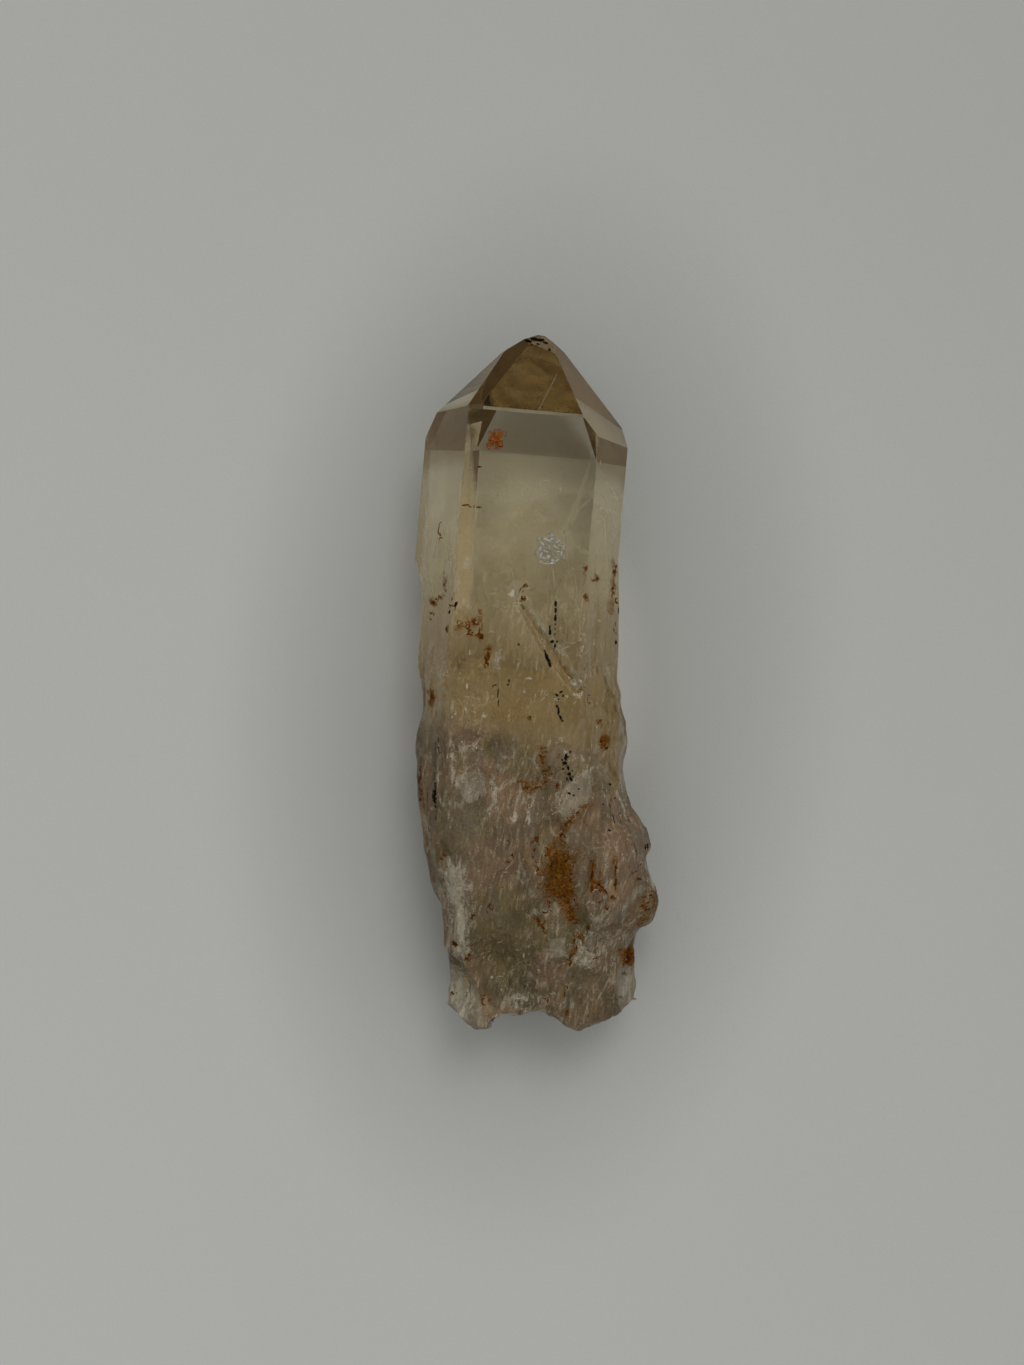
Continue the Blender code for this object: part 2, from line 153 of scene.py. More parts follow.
class Shader:
    """The node tree of one material or of the world, with the few kinds of node that are used."""

    def __init__(self, tree: bpy.types.NodeTree) -> None:
        """Empties the tree and finds the place on the object in millimetres.

        Args:
            tree: The node tree.
        """
        self.tree = tree
        tree.nodes.clear()
        self.place = self.vectors("SCALE", self.add("ShaderNodeTexCoord").outputs["Object"], 1.0 / MM)
        self.x, self.y, self.z = self.parts(self.place)

    def add(
        self, kind: str, settings: dict[str, Any] | None = None, sockets: dict[str | int, Any] | None = None
    ) -> bpy.types.Node:
        """Adds a node.

        Args:
            kind: The node's type.
            settings: Its own settings, set first.
            sockets: Its inputs by name or number, as values, links, colours or plain numbers.

        Returns:
            The node.
        """
        node = self.tree.nodes.new(kind)
        for name, setting in (settings or {}).items():
            setattr(node, name, setting)
        for name, given in (sockets or {}).items():
            if isinstance(given, Value):
                given = given.socket
            if isinstance(given, Socket):
                self.tree.links.new(given, node.inputs[name])
            elif node.inputs[name].type == "RGBA":
                node.inputs[name].default_value = (*given, 1.0)
            else:
                node.inputs[name].default_value = given
        return node

    def vectors(self, operation: str, first: Socket, second: Any) -> Socket:
        """Adds one Vector Math node.

        Args:
            operation: The node's operation.
            first: A vector link.
            second: A vector or a vector link; for SCALE, a value or a number.

        Returns:
            The node's result.
        """
        sockets = {0: first, "Scale" if operation == "SCALE" else 1: second}
        node = self.add("ShaderNodeVectorMath", {"operation": operation}, sockets)
        return node.outputs["Value" if operation == "DOT_PRODUCT" else 0]

    def parts(self, vector: Socket) -> list[Value]:
        """The three numbers of a vector."""
        split = self.add("ShaderNodeSeparateXYZ", sockets={"Vector": vector})
        return [Value(self.tree, output) for output in split.outputs]

    def number(self, name: str) -> Value:
        """One of the numbers that the mesh keeps at each vertex."""
        return Value(self.tree, self.add("ShaderNodeAttribute", {"attribute_name": name}).outputs["Fac"])

    def stretched(self, across: float, along: float, turn: float) -> Socket:
        """Places scaled so that a texture is longer along the crystal than across it.

        Args:
            across: Cells to the millimetre in X and Z.
            along: Cells to the millimetre in Y.
            turn: Degrees by which the long direction leans to the right.

        Returns:
            The scaled places.
        """
        sockets = {"Vector": self.place, "Angle": math.radians(turn)}
        turned = self.add("ShaderNodeVectorRotate", {"rotation_type": "Z_AXIS"}, sockets)
        return self.vectors("MULTIPLY", turned.outputs[0], (across, along, across))

    def grain(
        self,
        scale: float,
        detail: float = 3.0,
        rough: float = 0.55,
        twist: float = 0.0,
        places: Socket | None = None,
    ) -> Value:
        """Cloudy noise from 0 to 1, mostly about 0.5.

        Args:
            scale: Cells to the millimetre.
            detail: How many finer layers it has.
            rough: How strong the finer layers are.
            twist: How far it is warped.
            places: Where it is read, if not at the plain place.

        Returns:
            The noise.
        """
        sockets = {"Scale": scale, "Detail": detail, "Roughness": rough, "Distortion": twist}
        sockets["Vector"] = places or self.place
        return Value(self.tree, self.add("ShaderNodeTexNoise", sockets=sockets).outputs["Fac"])

    def bent(self, places: Socket, scale: float, reach: float) -> Socket:
        """Shifts places to and fro, so that a pattern read there loses its straight edges.

        Args:
            places: The places.
            scale: Bends to the unit of the places.
            reach: How far a place moves at most, in the same unit.

        Returns:
            The shifted places.
        """
        sockets = {"Scale": scale, "Detail": 2.0, "Vector": places}
        wobble = self.add("ShaderNodeTexNoise", sockets=sockets).outputs["Color"]
        shift = self.vectors("SCALE", self.vectors("SUBTRACT", wobble, MIDDLE), 2.0 * reach)
        return self.vectors("ADD", places, shift)

    def facets(self, scale: float, places: Socket) -> tuple[Value, Value]:
        """Random flat facets with crisp edges.

        Args:
            scale: Facets to the unit of the places.
            places: Where the pattern is read.

        Returns:
            A random number for each facet from 0 to 1, and a height whose slope differs from facet to facet.
        """
        cells = self.add("ShaderNodeTexVoronoi", sockets={"Scale": scale, "Vector": places}).outputs
        offset = self.vectors("SUBTRACT", places, cells["Position"])
        slope = self.vectors("DOT_PRODUCT", offset, self.vectors("SUBTRACT", cells["Color"], MIDDLE))
        tone = self.add("ShaderNodeSeparateColor", sockets={"Color": cells["Color"]}).outputs[0]
        return Value(self.tree, tone), Value(self.tree, slope) * scale

    def blended(self, share: Value, low: Colour | Socket, high: Colour | Socket) -> Socket:
        """Mixes two colours.

        Args:
            share: How much of the high colour there is.
            low: The colour at a share of 0.
            high: The colour at a share of 1.

        Returns:
            The mixed colour.
        """
        sockets = {MIX_FACTOR: share, MIX_LOW: low, MIX_HIGH: high}
        node = self.add("ShaderNodeMix", {"data_type": "RGBA", "clamp_factor": True}, sockets)
        return node.outputs[MIX_RESULT]

    def bump(self, height: Value, depth: float) -> Socket:
        """The normal of a relief whose height of 1 is so many millimetres."""
        sockets = {"Height": height, "Distance": depth * MM, "Strength": 1.0}
        return self.add("ShaderNodeBump", sockets=sockets).outputs["Normal"]

    def coat(
        self, colour: Colour | Socket, roughness: Value | float, gloss: float, normal: Socket, **others: float
    ) -> Socket:
        """Adds a Principled shader.

        Args:
            colour: Its base colour.
            roughness: Its roughness.
            gloss: How strongly it mirrors, where 0.5 is plain glass.
            normal: Its normal.
            others: Further inputs, in capitals and with _ for a space.

        Returns:
            The shader.
        """
        sockets = {"Base Color": colour, "Roughness": roughness, "Specular IOR Level": gloss, "Normal": normal}
        sockets |= {name.replace("_", " "): given for name, given in others.items()}
        return self.add("ShaderNodeBsdfPrincipled", sockets=sockets).outputs[0]

    def mixed(self, share: Value, low: Socket, high: Socket) -> Socket:
        """Mixes two shaders; a share of 0 gives the low one and a share of 1 the high one."""
        return self.add("ShaderNodeMixShader", sockets={0: share, 1: low, 2: high}).outputs[0]

    def ends(self, surface: Socket, **others: Socket) -> None:
        """Ends the tree with a surface and, if given, a volume."""
        self.add("ShaderNodeOutputMaterial", sockets={"Surface": surface, **others})


def new_material(name: str) -> tuple[bpy.types.Material, Shader]:
    """Starts a material.

    Args:
        name: Its name.

    Returns:
        The material and its empty shader.
    """
    material = bpy.data.materials.new(name)
    material.use_nodes = True
    return material, Shader(material.node_tree)


def placed(mesh: bpy.types.Mesh, material: bpy.types.Material) -> bpy.types.Object:
    """Puts a piece of the crystal into the scene.

    Args:
        mesh: Its mesh, in metres; the piece takes its name.
        material: Its material.

    Returns:
        The piece.
    """
    mesh.materials.append(material)
    piece = bpy.data.objects.new(mesh.name, mesh)
    bpy.context.scene.collection.objects.link(piece)
    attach(piece, BODY)
    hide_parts(NODE)
    return piece


def solid() -> Body:
    """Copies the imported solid.

    Returns:
        The copy, in millimetres and with its seams welded.
    """
    body = bmesh.new()
    body.from_mesh(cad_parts[NODE].data)
    bmesh.ops.scale(body, vec=(1.0 / MM,) * 3, verts=body.verts[:])
    bmesh.ops.remove_doubles(body, verts=body.verts[:], dist=WELD_MM)
    return body


def cut(body: Body, place: Point | Vector, out: Point | Vector, keep_outer: bool) -> None:
    """Cuts a body through along a plane.

    Args:
        body: The body.
        place: A point on the plane.
        out: The plane's direction.
        keep_outer: Whether the part on the side of that direction stays.
    """
    everything = body.verts[:] + body.edges[:] + body.faces[:]
    bmesh.ops.bisect_plane(
        body, geom=everything, dist=1e-4, plane_co=place, plane_no=out, clear_outer=not keep_outer
    )


def skin_at(skin: BVHTree, x: float, y: float) -> tuple[Vector | None, Vector | None]:
    """The skin's highest point at a place, and its direction there; both None beside the crystal."""
    return skin.ray_cast(Vector((x, y, HIGH_ABOVE_MM)), Vector((0.0, 0.0, -1.0)))[:2]


@dataclass(frozen=True)
class PaperFinish:
    """Matte pale greyish paper with a faint tooth, a painted shadow about the crystal and painted light across
    it.
    """

    shade: Colour = (0.79, 0.80, 0.765)
    shade_dim: Colour = (0.765, 0.775, 0.74)
    roughness: float = 0.9
    gloss: float = 0.2
    tooth_mm: float = 0.04
    painted_shadow_share: float = 0.19
    painted_shadow_reach_mm: Spot = (28.0, 50.0)
    painted_light_lean_per_mm: Spot = (0.0006, 0.0009)

    def material(self) -> bpy.types.Material:
        """Builds the material.

        Returns:
            The material.
        """
        material, shader = new_material("paper")
        across = (shader.x + 1.0) * (1.0 / self.painted_shadow_reach_mm[0])
        along = (shader.y + 2.0) * (1.0 / self.painted_shadow_reach_mm[1])
        reach = across * across + along * along
        # Painted light: the paper is made lighter towards -X and -Y.
        lean = 1.0 - self.painted_light_lean_per_mm[0] * shader.x - self.painted_light_lean_per_mm[1] * (shader.y + 10.0)
        # Painted shadow: the paper is made darker in a soft ring about the crystal, though not under its
        # middle.
        painted_shadow = self.painted_shadow_share * reach.step(3.4, 0.7) * reach.step(0.15, 0.5)
        shade = shader.blended(shader.grain(0.02, 4.0), self.shade_dim, self.shade)
        colour = shader.vectors("SCALE", shade, (1.0 - painted_shadow) * lean)
        tooth = shader.bump(shader.grain(2.5, 3.0), self.tooth_mm)
        shader.ends(shader.coat(colour, self.roughness, self.gloss, tooth))
        return material


class Layer(Enum):
    """What a mark on the quartz adds to it; each value is the name of the skin's number for it."""

    FROST_AND_GLINT = "frost_and_glint"
    CLEAR = "clear"
    TAN = "tan"
    RUST = "rust"
    DARK = "dark"
    PANEL = "panel"
    BLUSH = "blush"
    AMBER = "amber"


def faded(reach: np.ndarray, soft: float) -> np.ndarray:
    """1 well inside a mark, a half at its edge, where the reach is 1, and 0 beyond."""
    return np.clip((1.0 + soft - reach) / (2.0 * soft), 0.0, 1.0)


def distances(places: Sequence[Spot], x: np.ndarray, y: np.ndarray) -> np.ndarray:
    """How far some points are from a bent line.

    Args:
        places: The line's places, in order.
        x: The points' places across the crystal.
        y: The points' places along the crystal.

    Returns:
        One distance for each point, in millimetres.
    """
    nearest = np.full(x.shape, 1000.0)
    for (x0, y0), (x1, y1) in zip(places, places[1:]):
        run = (x1 - x0, y1 - y0)
        share = ((x - x0) * run[0] + (y - y0) * run[1]) / (run[0] ** 2 + run[1] ** 2)
        share = np.clip(share, 0.0, 1.0)
        nearest = np.minimum(nearest, np.hypot(x - x0 - share * run[0], y - y0 - share * run[1]))
    return nearest


@dataclass(frozen=True)
class Patch:
    """An oval mark, seen from above or below."""

    layer: Layer
    soft: float
    x: float
    y: float
    half_width: float
    half_length: float
    strength: float
    turn_deg: float = 0.0

    def strengths(self, x: np.ndarray, y: np.ndarray) -> np.ndarray:
        """How strong the mark is at points on the crystal.

        Args:
            x: The points across the crystal.
            y: The points along it.

        Returns:
            The strengths.
        """
        turn = math.radians(self.turn_deg)
        across = (x - self.x) * math.cos(turn) + (y - self.y) * math.sin(turn)
        along = (y - self.y) * math.cos(turn) - (x - self.x) * math.sin(turn)
        return self.strength * faded(np.hypot(across / self.half_width, along / self.half_length), self.soft)


@dataclass(frozen=True)
class Line:
    """A mark along a bent line."""

    layer: Layer
    soft: float
    half_width: float
    strength: float
    places: tuple[Spot, ...]

    def strengths(self, x: np.ndarray, y: np.ndarray) -> np.ndarray:
        """How strong the mark is at points on the crystal.

        Args:
            x: The points across the crystal.
            y: The points along it.

        Returns:
            The strengths.
        """
        return self.strength * faded(distances(self.places, x, y) / self.half_width, self.soft)


@dataclass(frozen=True)
class Panel:
    """A many-sided mark with crisp edges."""

    layer: Layer
    soft: float
    strength: float
    corners: tuple[Spot, ...]

    def strengths(self, x: np.ndarray, y: np.ndarray) -> np.ndarray:
        """How strong the mark is at points on the crystal.

        Args:
            x: The points across the crystal.
            y: The points along it.

        Returns:
            The strengths.
        """
        rim = self.corners + self.corners[:1]
        inside = np.zeros(x.shape, bool)
        for (x0, y0), (x1, y1) in zip(rim, rim[1:]):
            level = (y0 > y) != (y1 > y)
            inside ^= level & (x < (x1 - x0) * (y - y0) / ((y1 - y0) or 1.0) + x0)
        reach = distances(rim, x, y)
        reach = np.where(inside, -reach, reach)
        return self.strength * np.clip(0.5 - 0.5 * reach / self.soft, 0.0, 1.0)


Mark = Patch | Line | Panel


def patches(layer: Layer, soft: float, *rows: tuple[float, ...]) -> list[Patch]:
    """Patches of one layer; each row is x, y, half width, half length, strength and turn."""
    return [Patch(layer, soft, *row) for row in rows]


def lines(layer: Layer, soft: float, *rows: tuple[Any, ...]) -> list[Line]:
    """Lines of one layer; each row is half width, strength and the places."""
    return [Line(layer, soft, *row[:2], row[2:]) for row in rows]


def panels(layer: Layer, soft: float, *rows: tuple[Any, ...]) -> list[Panel]:
    """Panels of one layer; each row is strength and the corners."""
    return [Panel(layer, soft, row[0], row[1:]) for row in rows]


# How near each vertex is to a chip's rim; the skin's shader paints the rims pale as highlights.
RIM_GLINT = "ridge"
FACES_UP = "faces_up"
FRONT_MARKS: tuple[Mark, ...] = (
    # White frost: pale crusts, streaks and rims; the lobe's white rim and the streak along the lobe are
    # painted highlights.
    *lines(
        Layer.FROST_AND_GLINT, 1.0,
        (1.67, 0.92, (-10.2, -26.5), (-9.3, -31.1), (-8.5, -34.7), (-8.5, -38.4)),
        (0.15, 0.55, (4.7, 7.2), (5.1, 3.3)),
        (0.15, 0.75, (-3.5, 10.9), (-0.3, 7.3), (2.5, 4.3), (4.0, 2.2), (4.8, 0.1)),
        (0.25, 0.85, (-13.8, -9.2), (-13.4, -15.9), (-12.5, -18.0)),
        (0.31, 0.75, (-12.0, -9.0), (-11.5, -13.6), (-10.8, -14.8)),
        (0.25, 0.8, (-6.0, -13.9), (-5.3, -15.1), (-5.3, -17.1), (-6.2, -18.2)),
        # The line from 17.6, -24.3 and the next line, from 12.1, -14.4, are painted highlights on the lobe.
        (0.27, 0.9, (-0.5, -17.5), (-0.1, -19.9)), (0.33, 1.0, (17.6, -24.3), (18.2, -26.1), (18.4, -27.4)),
        (0.27, 0.9, (12.1, -14.4), (12.9, -16.3), (13.7, -18.4)),
        (0.24, 0.9, (-2.7, -48.0), (0.3, -47.5), (2.9, -46.5), (4.6, -46.7)),
        (0.17, 0.5, (1.4, 7.6), (4.3, 7.8)), (0.22, 0.55, (-14.0, 15.8), (-13.5, 11.7)),
    ),
    *patches(Layer.FROST_AND_GLINT, 0.4, (-12.1, 15.9, 0.7, 1.12, 0.5)),
    *patches(
        Layer.FROST_AND_GLINT, 0.7,
        (-17.9, 15.0, 0.5, 1.95, 0.5, -6), (-13.1, 13.0, 0.47, 1.26, 0.55), (-14.8, 3.2, 0.98, 1.53, 0.55),
        (-14.4, 0.3, 1.12, 1.53, 0.6), (-7.3, 5.3, 0.56, 0.56, 0.5), (-6.4, 2.9, 0.7, 1.81, 0.5),
        (4.5, 0.6, 0.7, 0.7, 0.8, -30), (5.8, 1.7, 0.47, 0.7, 0.7, 30), (3.1, -7.4, 0.7, 0.7, 0.7),
        (-9.0, -33.3, 0.56, 1.26, 1.1), (-10.3, -9.4, 1.12, 0.7, 0.5), (-8.0, -11.5, 0.84, 1.12, 0.45),
        (-2.2, -18.5, 0.33, 0.5, 1.1), (-0.7, -20.7, 0.84, 0.56, 0.55), (-0.4, -15.4, 0.56, 0.56, 0.6),
        (10.6, -35.9, 3.63, 3.35, 0.62, 20), (11.2, -31.9, 1.81, 1.95, 0.55),
        (9.1, -38.5, 2.09, 1.26, 0.75), (16.2, -43.1, 1.26, 2.79, 0.6), (10.4, -15.7, 0.42, 1.26, 0.6),
        (3.3, -44.7, 0.36, 0.98, 0.7), (-12.0, -4.7, 0.63, 1.12, 0.7), (-7.6, -5.0, 0.7, 0.42, 0.7),
        (-1.9, 0.7, 0.63, 0.22, 0.6), (-12.5, 4.3, 0.25, 1.12, 0.5), (-17.4, 1.8, 0.56, 0.98, 0.5),
        (3.8, 2.2, 0.98, 0.84, 0.5, -30), (-11.7, 10.2, 0.98, 1.67, 0.35), (-8.6, -1.5, 2.23, 0.7, 0.4, -8),
    ),
    *patches(
        Layer.FROST_AND_GLINT, 0.8,
        (-9.8, -3.0, 2.79, 1.26, 0.42), (-10.3, -32.0, 2.23, 6.42, 0.4, 6),
        (11.7, -21.3, 1.4, 3.07, 0.36, -10), (14.5, -22.1, 0.84, 2.51, 0.36, -15),
        (17.7, -39.3, 0.84, 2.79, 0.36), (0.8, -45.2, 3.35, 1.4, 0.7), (-8.0, -46.6, 2.37, 3.63, 0.95),
        (3.8, -15.7, 1.67, 1.67, 0.45), (-2.3, -16.3, 1.4, 1.67, 0.42), (-8.8, -15.4, 1.4, 1.4, 0.6),
    ),
    *patches(
        Layer.FROST_AND_GLINT, 0.9,
        (-18.3, 20.4, 1.26, 2.23, 0.42), (-6.9, 21.3, 0.84, 1.26, 0.34), (-4.3, 15.0, 0.56, 1.4, 0.34),
        (-1.9, 26.6, 3.07, 2.23, 0.3, -35), (-4.7, 24.6, 1.95, 1.67, 0.28), (-1.0, 15.2, 2.23, 2.79, 0.3),
        (8.0, 27.0, 0.84, 2.79, 0.45), (6.5, 23.7, 0.7, 3.35, 0.4, 8), (6.8, 12.5, 0.84, 3.07, 0.42),
        (2.7, 6.4, 1.67, 1.4, 0.34), (-4.9, 7.9, 1.67, 2.23, 0.34), (-10.5, 12.9, 1.26, 2.79, 0.36),
        (0.6, -2.8, 2.79, 1.12, 0.3),
    ),
    # Smooth faces with crisp edges.
    *panels(
        Layer.PANEL, 0.4,
        (0.75, (-11.3, -13.7), (-8.5, -12.6), (-6.8, -12.9), (-6.9, -14.6), (-7.4, -16.6), (-8.6, -17.6),
         (-9.8, -16.8)),
        (1.0, (3.9, -17.4), (4.3, -15.5), (5.3, -12.8), (7.3, -11.0), (8.3, -12.3), (8.0, -14.8),
         (7.2, -16.3), (6.1, -17.4), (5.0, -18.9)),
        (1.0, (-11.3, -40.3), (-8.5, -42.0), (-6.7, -43.3), (-5.3, -44.8), (-4.7, -46.6), (-3.8, -50.0),
         (-7.1, -51.8), (-10.0, -48.2), (-11.5, -44.7)),
    ),
    *panels(
        Layer.PANEL, 0.6,
        (0.8, (3.8, -35.3), (6.3, -34.8), (6.8, -38.1), (4.1, -38.4)),
        (0.7, (14.1, -39.6), (18.0, -38.5), (18.5, -44.9), (15.5, -46.9), (13.9, -42.7)),
    ),
    # Places where the broken half is clearer, so that it looks olive and deep.
    *patches(Layer.CLEAR, 0.5, (11.0, -43.0, 2.79, 2.65, 0.75)),
    *patches(Layer.CLEAR, 0.7, (9.5, -11.0, 1.67, 2.23, 1.0), (7.7, -26.6, 1.12, 2.23, 0.8)),
    *patches(
        Layer.CLEAR, 0.8,
        (-2.2, -35.0, 3.63, 4.46, 1.0), (-1.1, -43.1, 3.07, 1.4, 0.45), (-9.7, -11.6, 1.26, 1.4, 0.7),
    ),
    *patches(Layer.CLEAR, 0.9, (-8.1, -20.3, 1.67, 0.98, 0.7), (-5.1, -9.5, 3.07, 1.12, 0.4)),
    # Faint yellow-brown clouds.
    *panels(
        Layer.TAN, 0.4,
        (0.95, (-4.5, 11.2), (-3.5, 10.9), (-0.3, 7.3), (2.5, 4.3), (4.0, 2.2), (4.8, 0.1), (4.0, -0.4),
         (2.2, 1.3), (0.5, 3.2), (-1.6, 6.1)),
    ),
    *lines(
        Layer.TAN, 1.0,
        (0.98, 1.1, (-16.3, -13.7), (-15.4, -17.8), (-14.3, -21.9), (-13.2, -25.9)),
        (0.25, 0.7, (8.4, 0.0), (8.8, -4.5)), (0.21, 0.8, (6.5, -0.5), (6.7, -3.2)),
        (0.18, 1.1, (-2.7, 23.6), (-2.1, 23.2), (-1.3, 22.6)),
        (0.31, 0.8, (4.3, 26.3), (3.3, 25.7), (2.3, 24.2), (1.6, 22.7), (1.0, 21.4)),
        (0.22, 0.9, (6.3, 0.6), (6.0, 2.3)), (0.39, 1.0, (8.6, 18.6), (9.3, 14.4), (9.3, 10.9)),
    ),
    *patches(
        Layer.TAN, 0.7,
        (0.7, -10.7, 0.98, 2.79, 0.95), (0.0, -14.1, 2.51, 1.26, 0.9), (-16.0, -18.0, 0.84, 6.98, 0.6),
        (9.5, -7.4, 1.26, 1.53, 0.9), (2.2, -45.4, 3.35, 1.67, 0.45), (16.5, -29.9, 2.09, 2.51, 0.6),
        (-0.5, -24.4, 0.98, 1.67, 0.6), (9.8, -1.3, 1.12, 5.58, 0.4),
    ),
    *patches(
        Layer.TAN, 0.9,
        (-16.0, 9.5, 1.81, 4.74, 0.6), (-4.1, -4.7, 6.42, 2.09, 1.1), (8.0, -3.7, 1.95, 3.07, 0.6),
        (-15.7, 3.6, 2.23, 8.37, 0.7), (9.2, 10.0, 1.12, 6.98, 0.5), (-4.3, 5.8, 4.74, 4.74, 0.3),
        (7.0, 5.5, 3.91, 8.37, 0.35), (-3.6, -2.4, 5.58, 4.74, 0.4), (-2.2, -35.4, 2.79, 3.63, 0.45),
        (2.6, -20.9, 1.4, 3.07, 0.6),
    ),
    # Warm yellow panels and rims.
    *panels(
        Layer.AMBER, 0.5,
        (0.95, (-14.3, 33.5), (-12.0, 33.2), (-11.4, 24.7), (-11.1, 16.9), (-10.9, 9.4), (-13.4, 9.2),
         (-13.5, 16.7), (-13.7, 24.5)),
    ),
    *lines(Layer.AMBER, 1.0, (0.47, 0.9, (8.9, 19.2), (9.0, 16.5), (9.1, 14.0), (9.6, 12.1))),
    *patches(
        Layer.AMBER, 0.9,
        (-11.8, 7.3, 1.26, 3.63, 0.5), (9.7, 5.8, 1.12, 6.14, 0.5), (-16.6, 3.5, 1.4, 6.98, 0.45),
        (2.2, -4.0, 4.74, 2.23, 0.3), (-2.1, -45.5, 3.63, 1.4, 0.4),
    ),
    # Rust.
    *panels(
        Layer.RUST, 0.5,
        (1.7, (14.6, -37.2), (15.9, -36.9), (17.3, -37.7), (17.3, -39.3), (16.2, -39.6), (14.8, -38.9)),
    ),
    *panels(
        Layer.RUST, 1.2,
        (1.08, (2.9, -22.2), (4.7, -21.5), (6.6, -22.4), (7.0, -26.7), (6.7, -28.9), (7.6, -30.8),
         (8.1, -32.6), (7.1, -33.5), (6.1, -32.2), (5.1, -30.6), (3.5, -30.1), (2.2, -28.1), (1.9, -25.3)),
    ),
    *lines(
        Layer.RUST, 1.0,
        (0.62, 0.9, (-12.4, 6.6), (-11.3, 7.9), (-10.3, 7.6), (-9.6, 7.9)),
        (0.29, 0.95, (-9.6, 9.7), (-9.3, 7.5), (-9.0, 5.9)),
        (0.43, 1.1, (-7.9, 4.3), (-7.9, 3.3), (-8.1, 2.2)), (0.23, 0.85, (4.2, 17.4), (4.5, 14.1)),
        (0.43, 0.95, (8.6, 18.3), (8.9, 16.5), (9.0, 14.3), (8.9, 11.1)),
        (0.39, 1.3, (-15.9, -2.3), (-15.2, -3.1), (-15.5, -4.1)),
        (0.21, 1.0, (7.3, -4.3), (8.3, -4.4), (8.9, -5.2)),
        (0.7, 0.8, (0.2, -8.4), (0.7, -10.2), (1.2, -12.0), (1.5, -13.3)),
        (0.74, 0.82, (2.0, -12.5), (1.0, -13.6), (-0.4, -14.4), (-1.8, -13.6)),
        (0.51, 0.95, (7.6, -16.2), (6.0, -17.4), (4.9, -19.2), (4.0, -21.0), (3.4, -22.7)),
        (0.37, 1.1, (8.9, -23.9), (9.2, -28.1)), (0.39, 1.1, (9.3, -28.4), (10.2, -26.8), (11.4, -28.1)),
        (0.29, 1.0, (10.2, -25.2), (10.4, -26.8)), (0.27, 0.9, (12.2, -23.1), (12.6, -27.6)),
        (0.59, 1.0, (18.8, -28.4), (18.9, -30.1), (18.0, -31.8), (16.5, -32.9)),
        (0.25, 0.8, (17.3, -27.3), (17.2, -29.2), (16.7, -30.4)),
        (0.31, 1.2, (2.1, -32.6), (2.7, -33.4), (3.3, -34.2)),
        (0.25, 1.05, (8.0, -34.5), (8.8, -35.0), (8.8, -35.6)),
        (0.29, 1.1, (7.6, -35.1), (7.5, -36.6), (7.2, -39.1)), (0.23, 1.0, (-7.7, -38.9), (-6.8, -40.1)),
        (0.39, 0.85, (-16.5, -14.6), (-15.9, -16.5), (-15.4, -18.6)),
        (0.51, 0.7, (-11.7, -24.4), (-11.2, -26.6)),
    ),
    *patches(Layer.RUST, 0.5, (9.5, -7.4, 0.78, 1.14, 1.1)),
    *patches(Layer.RUST, 0.6, (5.0, -25.1, 1.26, 2.51, 1.15), (6.0, -28.5, 1.12, 1.95, 1.15, -20)),
    *patches(
        Layer.RUST, 0.7,
        (-14.8, 13.2, 0.5, 1.26, 0.72), (-16.4, 10.4, 0.61, 0.53, 1.1), (-15.3, 11.1, 0.7, 0.7, 0.6),
        (-13.9, 6.6, 0.24, 0.53, 1.1), (-16.7, 7.5, 1.12, 1.4, 0.42), (-9.1, 5.8, 0.39, 0.39, 1.3),
        (-10.7, 7.0, 1.26, 0.84, 0.5), (-3.8, 11.7, 0.39, 0.39, 1.0), (-3.8, 13.1, 0.47, 0.84, 0.55),
        (6.4, 15.3, 0.5, 0.64, 0.75), (5.0, 12.5, 0.39, 0.7, 0.65), (-14.5, -5.1, 0.22, 0.25, 1.1),
        (-1.4, -4.6, 0.25, 0.25, 1.2), (3.2, -14.1, 0.42, 0.56, 0.7), (4.8, -19.4, 0.5, 0.61, 1.0),
        (1.0, -21.3, 0.33, 0.42, 1.3), (6.7, -31.3, 0.98, 1.81, 1.1, 12),
        (5.4, -27.7, 1.12, 1.67, 1.05, -12), (0.8, -22.9, 0.47, 0.84, 0.55),
        (12.2, -28.8, 0.33, 0.47, 0.95), (14.0, -18.1, 0.33, 0.31, 1.2), (15.3, -26.9, 1.4, 2.23, 0.42),
        (9.3, -33.5, 0.25, 0.45, 0.95), (10.9, -35.2, 1.26, 2.23, 0.42), (-9.2, -37.6, 0.39, 0.36, 1.4),
        (-8.9, -46.1, 0.21, 0.21, 1.0), (-3.4, -45.6, 0.42, 0.84, 0.55), (7.6, -46.1, 0.42, 0.42, 0.8),
        (7.0, -43.5, 0.33, 1.67, 0.5), (4.7, -45.5, 0.56, 0.84, 0.5),
    ),
    # A faint pink tint.
    *patches(Layer.BLUSH, 0.6, (12.4, -21.7, 3.63, 6.14, 1.0)),
    *patches(Layer.BLUSH, 0.7, (7.8, -22.3, 1.67, 5.02, 0.7)),
    *patches(
        Layer.BLUSH, 0.8,
        (-7.6, -12.5, 3.63, 1.95, 0.5), (-3.9, -15.0, 3.35, 2.51, 0.5), (6.1, -15.5, 1.67, 2.79, 0.6),
        (-6.2, -47.2, 2.79, 2.23, 0.5), (12.2, -44.3, 2.79, 2.23, 0.5),
    ),
    # Near-black stains.
    *lines(Layer.DARK, 1.0, (0.21, 1.0, (-13.9, -15.2), (-13.6, -18.2))),
    *patches(
        Layer.DARK, 0.7,
        (0.3, 3.6, 0.25, 1.05, 0.9, 25), (17.1, -21.9, 0.42, 0.33, 1.0, 20), (4.1, -10.4, 0.56, 1.12, 0.5),
        (4.9, -12.4, 0.56, 0.56, 0.5),
    ),
)
GROOVE = ((-4.3, 11.4), (-2.5, 8.77), (-0.88, 6.13), (0.67, 4.18), (2.21, 2.5), (3.73, 0.97), (4.92, -0.04))
GROOVE_BACK = ((4.92, -0.04), (5.58, 0.9), (5.9, 2.25), (6.47, 4.68), (7.12, 6.82))


